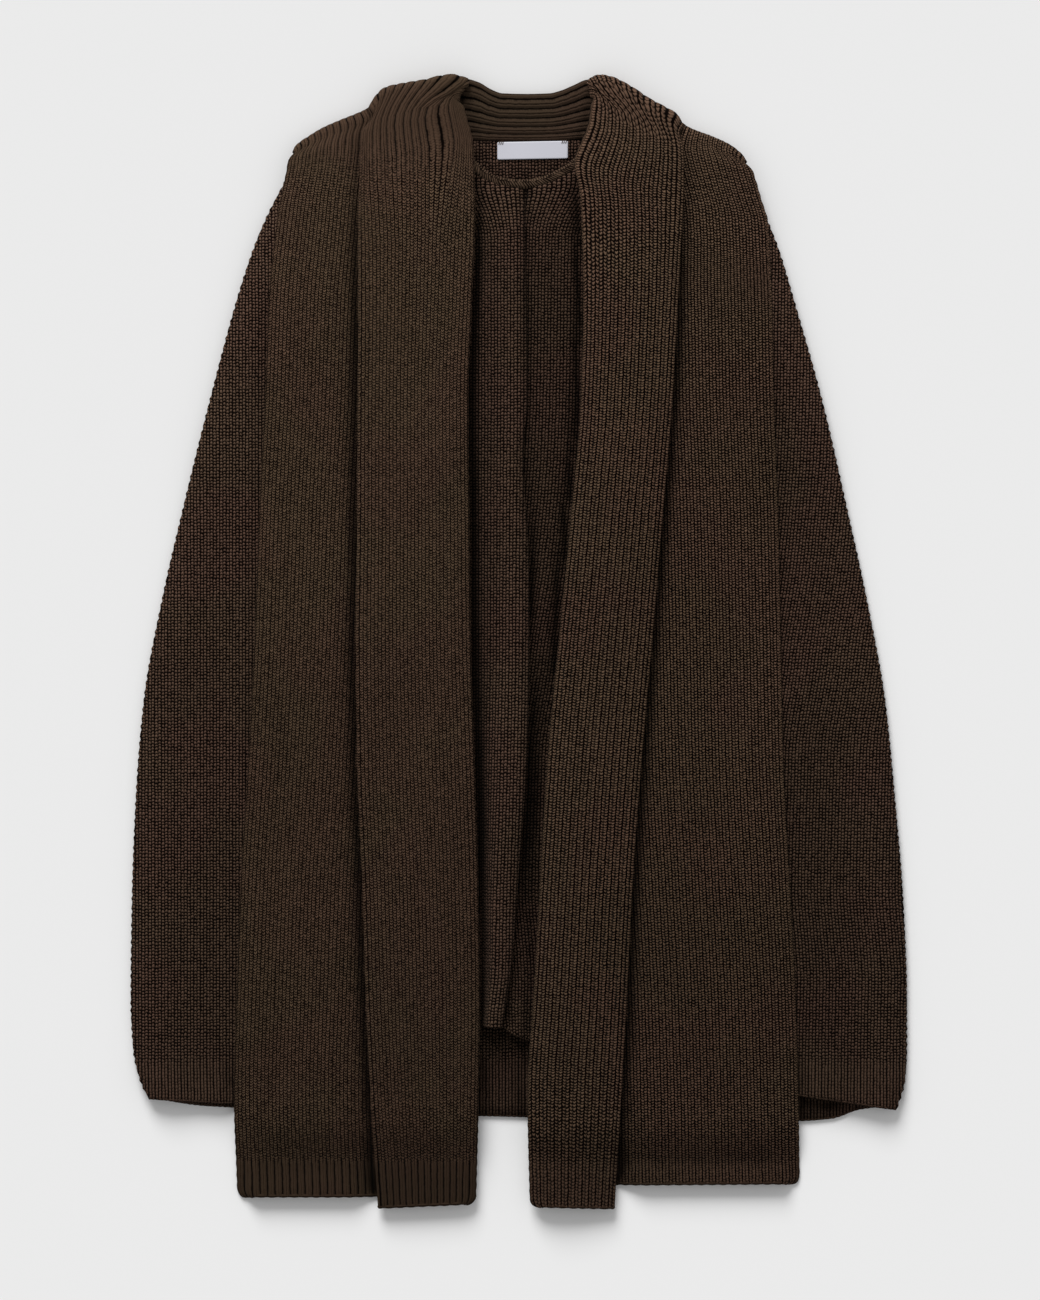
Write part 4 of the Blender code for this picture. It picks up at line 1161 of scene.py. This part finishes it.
VALLEY_COLUMN = CURL_STEPS + len(LEFT_SHARES) - 1
FAN_FROM = 322.0
FAN_OVER = 44.0
FAN_MIDDLE = 5.0
FAN_HALF = 45.0
FAN_SHIFT = 15.0
FAN_ENDS = 1.6
EDGE_BUMP = 0.6
EDGE_BUMP_PITCH = 6.9
EDGE_BUMP_ENDS = 12.0
EDGE_BUMP_FADES = 9.0
wales, rows = body_stitches(front_points, VALLEY_COLUMN)
near_neck = ease((front_points[..., 1] - FAN_FROM) / FAN_OVER)
beside_fold = (front_points[..., 0] - FAN_MIDDLE) / FAN_HALF
fan = near_neck * np.clip(beside_fold, -1, 1) * FAN_SHIFT / BODY_WALE
wales = wales - fan * (np.abs(beside_fold) < FAN_ENDS)
beside = np.minimum(
    front_points[..., 0] - read(BODY_EDGES, "left", "y", front_points[..., 1]),
    read(BODY_EDGES, "right", "y", front_points[..., 1]) - front_points[..., 0],
)
bumps = EDGE_BUMP * np.sin(front_points[..., 1] * 2 * np.pi / EDGE_BUMP_PITCH)
bumps *= ease((EDGE_BUMP_ENDS - beside) / EDGE_BUMP_FADES)
front_raised = front_points + facing(front_points) * bumps[..., None]
front = thicken(add_grid("front_panel", front_raised, wales, rows, body_knit), CLOTH)
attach(front, "root")
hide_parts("front")
print("widest row of the front, wales:", round(float(np.ptp(wales, axis=1).max())))

# %% [markdown]
# The back is the plain sheet underneath. It shows inside the neck, between the ends of the scarf at the
# hem and as a thin line under the front's hem on the right.

# %% Make the back
BACK_INSET = WALL / 2 + CURL + 1.2
BACK_COLUMNS = 90
SHOULDER_ROW = 390.0
LOWEST_ROW = -370.0
ABOVE_ALL = 999


def back_x(y, share):
    left = read(BODY_EDGES, "left", "y", y) + BACK_INSET
    right = read(BODY_EDGES, "right", "y", y) - BACK_INSET
    return blend(left, right, share)


def back_grid():
    share = np.linspace(0, 1, BACK_COLUMNS)
    x_top = back_x(SHOULDER_ROW, share)
    shoulder = np.interp(x_top, SHOULDERS["x"], SHOULDERS["y"])
    neck = np.interp(x_top, BACK_NECK["x"], BACK_NECK["y"], left=ABOVE_ALL, right=ABOVE_ALL)
    hem = read(BACK_HEM, "y", "x", back_x(LOWEST_ROW, share))
    y = panel_rows(np.minimum(shoulder, neck), hem)[::2]
    y[-1] = hem
    return np.stack([back_x(y, share), y, back_level(y)], axis=-1)


back_points = back_grid()
wales, rows = body_stitches(back_points, BACK_COLUMNS // 2)
back = thicken(add_grid("back_panel", back_points, wales, rows, body_knit), CLOTH)
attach(back, "root")
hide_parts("back")
print("back:", back_points.shape)

# %% [markdown]
# Behind the back panel the scarf is turned down and lies flat. Nothing of it shows from above, but it is
# what lifts the shoulders, so it is there for a look from behind.

# %% Make the part of the scarf that is turned down
FALL_FREE_EDGE = 163.0
FALL_SHAPE = 2.5
FALL_STARTS = 0.42
FALL_SEAM = 0.6
FALL_END = 6.0
FALL_ROWS = 60
COLUMNS_BY_AN_END = 40
COLUMNS_BY_THE_STAND = 30
BESIDE_THE_STAND = 4
WALES_FROM = 450
FALL_WALE = 3.1


def fall_grid():
    inset = TURN_INSET + FALL_SEAM
    edges = []
    for end, order in ((LEFT_END, slice(None, None, -1)), (RIGHT_END, slice(None))):
        share = np.linspace(FALL_STARTS, 2.0, COLUMNS_BY_AN_END)[order]
        lean = np.radians(read(end["top"], "lean", "share", share))
        x = read(end["top"], "x", "share", share) - np.cos(lean) * inset
        y = read(end["top"], "y", "share", share) - np.sin(lean) * inset
        edges.append(np.column_stack([x, y]))
    stand_from = edges[0][-1, 0] + BESIDE_THE_STAND
    stand_to = edges[1][0, 0] - BESIDE_THE_STAND
    x = np.linspace(stand_from, stand_to, COLUMNS_BY_THE_STAND)
    stand_edge = np.column_stack([x, read(STAND_TOP, "y", "x", x) - inset])
    upper = np.concatenate([edges[0], stand_edge, edges[1]])
    middle = (upper[0, 0] + upper[-1, 0]) / 2
    half = (upper[-1, 0] - upper[0, 0]) / 2
    reach = np.maximum(1 - np.abs((upper[:, 0] - middle) / half) ** FALL_SHAPE, 0) ** (1 / FALL_SHAPE)
    lower_y = blend(upper[:, 1] - FALL_END, FALL_FREE_EDGE, reach)
    y = blend(upper[:, 1], lower_y, np.linspace(0, 1, FALL_ROWS)[:, None])
    return np.stack([np.tile(upper[:, 0], (FALL_ROWS, 1)), y, np.full_like(y, WALL / 2)], axis=-1)


fall_points = fall_grid()
fall_wales = (WALES_FROM - fall_points[..., 1]) / FALL_WALE
fall = add_grid("scarf_turned_down", fall_points, fall_wales, fall_points[..., 0] / ROW_PITCH, scarf_knit)
thicken(fall, CLOTH)
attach(fall, "root")
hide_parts("scarf_fall")
print("turned-down scarf:", fall_points.shape)

# %% [markdown]
# ## Round edges
#
# A knitted edge is finished with a chain of loops, which makes it thicker than the cloth and slightly
# scalloped. A tube along the edge gives that line. The tube is a grid too: each ring of points is set up
# across the route, and its radius swells at every loop.

# %% Make a tube along a route
def along(points):
    return np.concatenate([[0], np.cumsum(np.linalg.norm(np.diff(points, axis=0), axis=1))])


def respaced(points, step):
    length = along(points)
    at = np.linspace(0, length[-1], max(2, int(length[-1] / step) + 1))
    return np.column_stack([np.interp(at, length, points[:, axis]) for axis in range(3)])


def add_tube(name, route, radius, material, sides=8, loop=0.0, loop_length=9.0, step=2.2, twist=0.0):
    """loop is the swell at each loop as a share of the radius, and twist turns the rows round the tube."""
    route = respaced(route, step)
    length = along(route)
    ahead = np.gradient(route, axis=0)
    ahead /= np.linalg.norm(ahead, axis=1, keepdims=True)
    side = np.cross(ahead, (0.0, 0.0, 1.0))
    side /= np.maximum(np.linalg.norm(side, axis=1, keepdims=True), 1e-6)
    up = np.cross(side, ahead)
    swell = radius * (1 + loop * np.sin(2 * np.pi * length / loop_length))
    turn = np.linspace(0, 2 * np.pi, sides + 1)
    ring = side[:, None] * np.cos(turn)[None, :, None] + up[:, None] * np.sin(turn)[None, :, None]
    grid = route[:, None] + ring * swell[:, None, None]
    wales = np.tile(np.linspace(0, 3, sides + 1), (len(route), 1))
    rows = length[:, None] / ROW_PITCH + np.linspace(0, twist, sides + 1)
    piece = add_grid(name, grid, wales, rows, material)
    weld = piece.modifiers.new("close the tube", "WELD")
    weld.merge_threshold = 0.00001
    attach(piece, "root")
    return piece


HEM_INSET = np.array((0.0, 0.9, 0.0))
EDGE_STARTS = 2
END_EDGE_RADIUS = 1.5
FRONT_EDGE_RADIUS = 1.25
BACK_EDGE_RADIUS = 1.3


def end_edge(grid):
    """The free edge of a scarf end: down its inner edge, across its hem and up its outer edge."""
    hem = grid[-1, 2:-2] + HEM_INSET
    return np.concatenate([grid[EDGE_STARTS:, 1], hem, grid[EDGE_STARTS:, -2][::-1]])


left_edge = add_tube("left_scarf_edge", end_edge(left_points), END_EDGE_RADIUS, scarf_knit, loop=0.16)
right_edge = add_tube("right_scarf_edge", end_edge(right_points), END_EDGE_RADIUS, scarf_knit, loop=0.16)
front_hem = front_raised[-1] + HEM_INSET
front_edge = add_tube("front_hem_edge", front_hem, FRONT_EDGE_RADIUS, body_knit, loop=0.1, loop_length=5.4)
back_hem = back_points[-1] + HEM_INSET
back_edge = add_tube("back_hem_edge", back_hem, BACK_EDGE_RADIUS, body_knit, loop=0.12, loop_length=4.0)
print("edges:", [piece.name for piece in (left_edge, right_edge, front_edge, back_edge)])

# %% [markdown]
# ## Rolled neckline
#
# The front neckline ends in a narrow roll of plain knitting, between 7 and 8 mm thick. It lies on the back
# panel inside the neck and disappears under the ends of the scarf. The table says how high the middle of
# the roll lies over the face of the back panel. That is less than half of its thickness, so the roll
# presses into the panel, as a soft edge does.

# %% Make the neck roll
NECK_ROLL = table("x y rise", [
    (-47.0, 402.0, 1.65), (-42.5, 391.0, 1.65), (-36.5, 382.5, 1.9), (-27.0, 374.0, 2.6),
    (-15.0, 368.5, 2.8), (4.5, 366.5, 2.9), (21.0, 369.5, 2.8), (33.0, 375.0, 2.6),
    (43.5, 381.5, 1.9), (51.0, 389.5, 1.65), (58.0, 400.0, 1.65),
])
ROLL_POINTS = 80
ROLL_CLEARANCE = 0.2
ROLL_RADIUS = 3.8
ROLL_SIDES = 14
place = np.arange(len(NECK_ROLL["x"]))
fine = np.linspace(0, place[-1], ROLL_POINTS)
roll_floor = float(back_level(LIFT_STARTS)) + WALL / 2 + ROLL_CLEARANCE
roll_route = np.column_stack([
    curve_through(place, NECK_ROLL["x"], fine),
    curve_through(place, NECK_ROLL["y"], fine),
    roll_floor + np.interp(fine, place, NECK_ROLL["rise"]),
])
ROLL_LOOK = {
    **SCARF_LOOK, "plain_above": NOWHERE, "furrow": 1.0, "pulled": 0.0, "inner": 0.4, "middle": 0.0,
    "chance": 0.6,
}
ROLL_YARN = (0.084, 0.055, 0.036)
roll_knit = knit_material("neck_roll_finish", SCARF_GAP_SHADE, ROLL_YARN, ROLL_LOOK)
neck_roll = add_tube(
    "neck_roll", roll_route, ROLL_RADIUS, roll_knit, sides=ROLL_SIDES, loop=0.03, loop_length=6.2, twist=4.0,
)
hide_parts("neckband")
print("length of the roll, mm:", round(float(along(roll_route)[-1])))

# %% [markdown]
# ## Label
#
# A pale satin ribbon is sewn inside the back neck by its short ends. It is left bare. A ribbon is never
# quite flat, so its middle lifts by a fraction of a millimetre.

# %% Make the label
label_low, label_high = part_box("label")
label_size = (label_high - label_low) / MM
label_middle = (label_high + label_low) / 2 / MM
LABEL_CORNER = 0.5
LABEL_TILT = 0.018
LABEL_LIFT = 0.35
LABEL_TWIST = 0.15
LABEL_COLUMNS = 49
LABEL_ROWS = 17
LABEL_CLOTH = 0.5
THREAD_PITCH = 0.5


def label_grid():
    x = np.linspace(-0.5, 0.5, LABEL_COLUMNS)
    y = np.linspace(-0.5, 0.5, LABEL_ROWS)
    across, up = np.meshgrid(x, y)
    to_end = (0.5 - np.abs(across)) * label_size.x
    cut = LABEL_CORNER - np.sqrt(
        np.maximum(LABEL_CORNER**2 - np.clip(LABEL_CORNER - to_end, 0, LABEL_CORNER) ** 2, 0)
    )
    height = LABEL_LIFT * np.cos(np.pi * across) * (0.4 + 0.6 * np.cos(2.5 * across + 0.4) ** 2)
    twist = LABEL_TWIST * np.sin(9 * across) * up
    place_x = across * label_size.x + label_middle.x
    place_y = up * (label_size.y - 2 * cut) + label_middle.y + LABEL_TILT * across * label_size.x
    grid = np.stack([place_x, place_y, label_middle.z + height + twist], axis=-1)
    return grid - ZERO_IN_FRAME


SATIN_DARK = (0.56, 0.56, 0.62)
SATIN_LIGHT = (0.64, 0.64, 0.7)


def satin_material(name):
    material = bpy.data.materials.new(name)
    nodes = Nodes(material)
    threads = nodes.knit_map()
    weave = nodes.math("SINE", nodes.math("MULTIPLY", nodes.part(threads, "Y"), 6.28))
    ribbon = nodes.mix(nodes.math("MULTIPLY_ADD", weave, 0.25, 0.5), SATIN_DARK, SATIN_LIGHT)
    pale = nodes.math("MULTIPLY_ADD", nodes.noise(threads, 2.0, 2.0), 0.1, 0.93)
    nodes.join(nodes.vector("SCALE", ribbon, pale), nodes.shader.inputs["Base Color"])
    nodes.shader.inputs["Roughness"].default_value = 0.45
    nodes.shader.inputs["Sheen Weight"].default_value = 0.1
    return material


satin = satin_material("satin_ribbon")
label_points = label_grid()
label_threads = label_points / THREAD_PITCH
label = add_grid("neck_label", label_points, label_threads[..., 0], label_threads[..., 1], satin)
thicken(label, LABEL_CLOTH)
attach(label, "root")
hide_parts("label")
print("label, mm:", [round(size, 1) for size in label_size])

# %% [markdown]
# The label is caught to the seam above it by three stitches of dark thread at each end. Each stitch is a
# short tube that goes over the label's upper edge.

# %% Sew the label on
STITCH_LENGTH = 3.0
STITCH_GAP = 1.5
STITCH_SLANT = 0.35
STITCH_BELOW = 0.6
STITCH_CLEARANCE = 0.25
STITCH_ARCH = 0.35
THREAD_RADIUS = 0.28
FROM_END = 1.5
STITCHES_AT_AN_END = 3
thread = knit_material("sewing_thread", SCARF_GAP_SHADE, SCARF_YARN, {**ROLL_LOOK, "bump": 0.4})


def add_stitch(number, x):
    top = label_points[-1]
    y = np.interp(x, top[:, 0], top[:, 1])
    z = np.interp(x, top[:, 0], top[:, 2])
    share = np.linspace(-1, 1, 9)
    route = np.column_stack([
        x + STITCH_SLANT * share,
        y + share * STITCH_LENGTH / 2 - STITCH_BELOW,
        z + STITCH_CLEARANCE + STITCH_ARCH * (1 - share**2),
    ])
    stitch = add_tube(f"label_stitch_{number}", route, THREAD_RADIUS, thread, sides=6, step=0.3)
    return stitch


label_ends = (label_points[0, 0, 0] + FROM_END, label_points[0, -1, 0] - FROM_END)
stitch_places = [
    end + way * at * STITCH_GAP
    for end, way in zip(label_ends, (1, -1))
    for at in range(STITCHES_AT_AN_END)
]
label_stitches = [add_stitch(number, x) for number, x in enumerate(stitch_places, 1)]
print("stitches on the label:", len(label_stitches))

# %% [markdown]
# ## Painted shade in the folds
#
# Thick wool swallows the light that falls into its folds. The shells are thin and smooth, so they show less
# of that than the real cloth does. Here the cape is looked at from above as a map of heights. A map that is
# blurred says how high the cloth lies nearby, and a point that lies lower than that is in a fold. A narrow
# blur finds the edges, and a wider one finds the folds. A hollow has higher cloth to its left and right. It
# is filled up to the lower of those two sides, and the height that was filled in is its depth. Between the
# ends of the scarf there is less shade at the top and near the hem, which a table sets.
#
# Each point keeps the result in an attribute named "depth", and the knit paints it into the wool's colour as
# shade.

# %% Find how deep each point lies
MAP_STEP = 1.0
MAP_HALF = (340, 490)
SURFACE_WIDTH = 1.8
EDGE_WIDTH = 3.0
EDGE_DEPTH = 2.5
EDGE_SHADE = 0.3
FOLD_WIDTH = 7.0
FOLD_DEPTH = 2.5
BESIDE_DEPTH = 4.5
FOLD_SHADE = 0.66
HOLLOW_HALF = 45
HOLLOW_WIDTH = 3.0
HOLLOW_DEPTH = 9.0
HOLLOW_SHADE = 0.32
MOST_PAINTED_SHADE = 0.88
BETWEEN_ENDS = table("y share", [
    (455.0, 0.45), (380.0, 0.5), (330.0, 0.9), (250.0, 1.0), (-120.0, 1.0), (-260.0, 0.45), (-460.0, 0.45),
])


def map_index(points):
    across = np.rint(points[:, 0] / MAP_STEP).astype(int) + MAP_HALF[0]
    up = np.rint(points[:, 1] / MAP_STEP).astype(int) + MAP_HALF[1]
    return np.clip(across, 0, 2 * MAP_HALF[0]), np.clip(up, 0, 2 * MAP_HALF[1])


def finer(grid, axis):
    """Put points between the rows or columns of a grid, so that none of the map's squares is missed."""
    grid = np.moveaxis(grid, axis, 0)
    gap = np.linalg.norm(np.diff(grid[:, :, :2], axis=0), axis=2)
    parts = int(np.clip(np.ceil(np.percentile(gap, 99) / (0.8 * MAP_STEP)), 1, 9))
    steps = [grid[:-1] + (grid[1:] - grid[:-1]) * part / parts for part in range(parts)]
    return np.moveaxis(np.concatenate(steps), 0, axis)


def blurred(values, width):
    reach = np.arange(-int(3 * width), int(3 * width) + 1)
    weights = np.exp(-0.5 * (reach / width) ** 2)
    weights /= weights.sum()
    for _ in range(2):
        padded = np.pad(values, ((len(reach) // 2,) * 2, (0, 0)), mode="edge")
        values = sum(weight * padded[at : at + len(values)] for at, weight in enumerate(weights)).T
    return values


def window_top(values, half):
    """The highest value within half a window to the left and right of each place."""
    padded = np.pad(values, ((half, half), (0, 0)), mode="edge")
    return np.lib.stride_tricks.sliding_window_view(padded, 2 * half + 1, axis=0).max(axis=-1)


heights = np.zeros((2 * MAP_HALF[0] + 1, 2 * MAP_HALF[1] + 1))
for _, grid in made:
    points = finer(finer(grid, 0), 1).reshape(-1, 3)
    np.maximum.at(heights, map_index(points), points[:, 2])
surface = blurred(heights, SURFACE_WIDTH)
close = blurred(heights, EDGE_WIDTH / MAP_STEP)
near = blurred(heights, FOLD_WIDTH / MAP_STEP)
bridge = -window_top(-window_top(heights, HOLLOW_HALF), HOLLOW_HALF)
hollow = blurred(np.maximum(bridge - heights, 0), HOLLOW_WIDTH)
map_x = (np.arange(heights.shape[0]) - MAP_HALF[0])[:, None] * MAP_STEP
map_y = (np.arange(heights.shape[1]) - MAP_HALF[1])[None, :] * MAP_STEP
left_outer, left_inner = (read(LEFT_END["rows"], name, "y", map_y) for name in ("outer_x", "inner_x"))
right_outer, right_inner = (read(RIGHT_END["rows"], name, "y", map_y) for name in ("outer_x", "inner_x"))
on_left = (map_x > left_outer) & (map_x < left_inner)
on_right = (map_x > right_inner) & (map_x < right_outer)
between = (map_x > left_inner) & (map_x < right_inner)
fold_depth = np.where(on_left | on_right, FOLD_DEPTH, BESIDE_DEPTH)
painted_shade = EDGE_SHADE * ease((close - surface) / EDGE_DEPTH)
painted_shade += FOLD_SHADE * ease((near - surface) / fold_depth)
painted_shade += HOLLOW_SHADE * ease(hollow / HOLLOW_DEPTH)
painted_shade *= np.where(between, read(BETWEEN_ENDS, "share", "y", map_y), 1.0)
for piece, grid in made:
    shade = np.clip(painted_shade[map_index(grid.reshape(-1, 3))], 0, MOST_PAINTED_SHADE)
    # the depth attribute holds the painted shade of each point
    depth = piece.data.attributes.new("depth", "FLOAT", "POINT")
    depth.data.foreach_set("value", shade.astype(np.float32))
print("highest point, mm:", round(float(heights.max()), 1))

# %% [markdown]
# ## What each sheet was cut to
#
# A sheet of cloth has the area that it was cut to, however it is folded. The areas below are those of the
# pieces above, in square metres, measured on their grids. The ends are gathered towards the neck, so they
# have less area than a rectangle as wide as their widest row and as long as their cloth. The part that is
# turned down lies hidden behind the back, so its size is a guess.

def cloth_area(grid):
    a = grid[1:, :-1] - grid[:-1, :-1]
    b = grid[:-1, 1:] - grid[:-1, :-1]
    return float(np.linalg.norm(np.cross(a, b), axis=2).sum()) * MM**2


for name, grid in (("front", front_points), ("back", back_points), ("left end", left_points),
                   ("right end", right_points), ("stand", stand_points), ("turned down", fall_points)):
    print(name, "area, square metres:", round(cloth_area(grid), 4))

# %% [markdown]
# ## Table, light and camera
#
# The cape lies on a wide pale table. One large square is enough, because the camera sees only its middle.

# %% Make the table top
TABLE_HALF = 4.0
TABLE_DROP = 0.0002
TABLE_SURFACE = {"Base Color": (0.87, 0.87, 0.87, 1.0), "Roughness": 1.0, "Specular IOR Level": 0.0}
corners = [(x * TABLE_HALF, y * TABLE_HALF, 0) for x, y in ((-1, -1), (1, -1), (1, 1), (-1, 1))]
floor_mesh = bpy.data.meshes.new("table_top")
floor_mesh.from_pydata(corners, [], [(0, 1, 2, 3)])
floor = bpy.data.objects.new("table_top", floor_mesh)
bpy.context.scene.collection.objects.link(floor)
floor.location.z = -TABLE_DROP
paper = bpy.data.materials.new("pale_table")
paper.use_nodes = True
for socket, value in TABLE_SURFACE.items():
    paper.node_tree.nodes["Principled BSDF"].inputs[socket].default_value = value
floor_mesh.materials.append(paper)
print("table, m:", 2 * TABLE_HALF)

# %% [markdown]
# Most of the light comes softly from all round, as in a white studio. One large lamp stands beyond the neck,
# which is why the shadows lie below the hems. A Sun with a wide angle is such a lamp, and it keeps its
# strength over the whole table.

# %% Light the scene
AROUND = 0.46
LAMP = 2.92
LAMP_TILT = 58.0
LAMP_TURN = 14.0
LAMP_SOFTNESS = 32.0
world = bpy.data.worlds.new("white_studio")
world.use_nodes = True
world.node_tree.nodes["Background"].inputs["Color"].default_value = (1.0, 1.0, 1.0, 1.0)
world.node_tree.nodes["Background"].inputs["Strength"].default_value = AROUND
bpy.context.scene.world = world
lamp_data = bpy.data.lights.new("lamp_beyond_the_neck", "SUN")
lamp_data.energy = LAMP
lamp_data.angle = math.radians(LAMP_SOFTNESS)
lamp = bpy.data.objects.new("lamp_beyond_the_neck", lamp_data)
lamp.rotation_euler = (math.radians(-LAMP_TILT), 0.0, math.radians(LAMP_TURN))
bpy.context.scene.collection.objects.link(lamp)
print("lamp, degrees off the vertical:", LAMP_TILT)

# %% [markdown]
# The camera looks straight down from far away through a long lens, so the cape keeps its true outline and
# the raised layers don't lean outwards.

# %% Set up the camera
SHOWN_HEIGHT = 1.04
MIDDLE_OF_PICTURE = (0.00095, -0.00674)
LENS = 200.0
SENSOR = 36.0
CLOTH_HEIGHT = 0.01
camera_data = bpy.data.cameras.new("camera")
camera_data.lens = LENS
camera_data.sensor_width = SENSOR
camera = bpy.data.objects.new("camera", camera_data)
camera.location = (*MIDDLE_OF_PICTURE, CLOTH_HEIGHT + SHOWN_HEIGHT * LENS / SENSOR)
camera_data.clip_end = 50.0
bpy.context.scene.collection.objects.link(camera)
bpy.context.scene.camera = camera
bpy.context.scene.view_settings.view_transform = "Standard"
print("camera height, m:", round(camera.location.z, 2))

# %% [markdown]
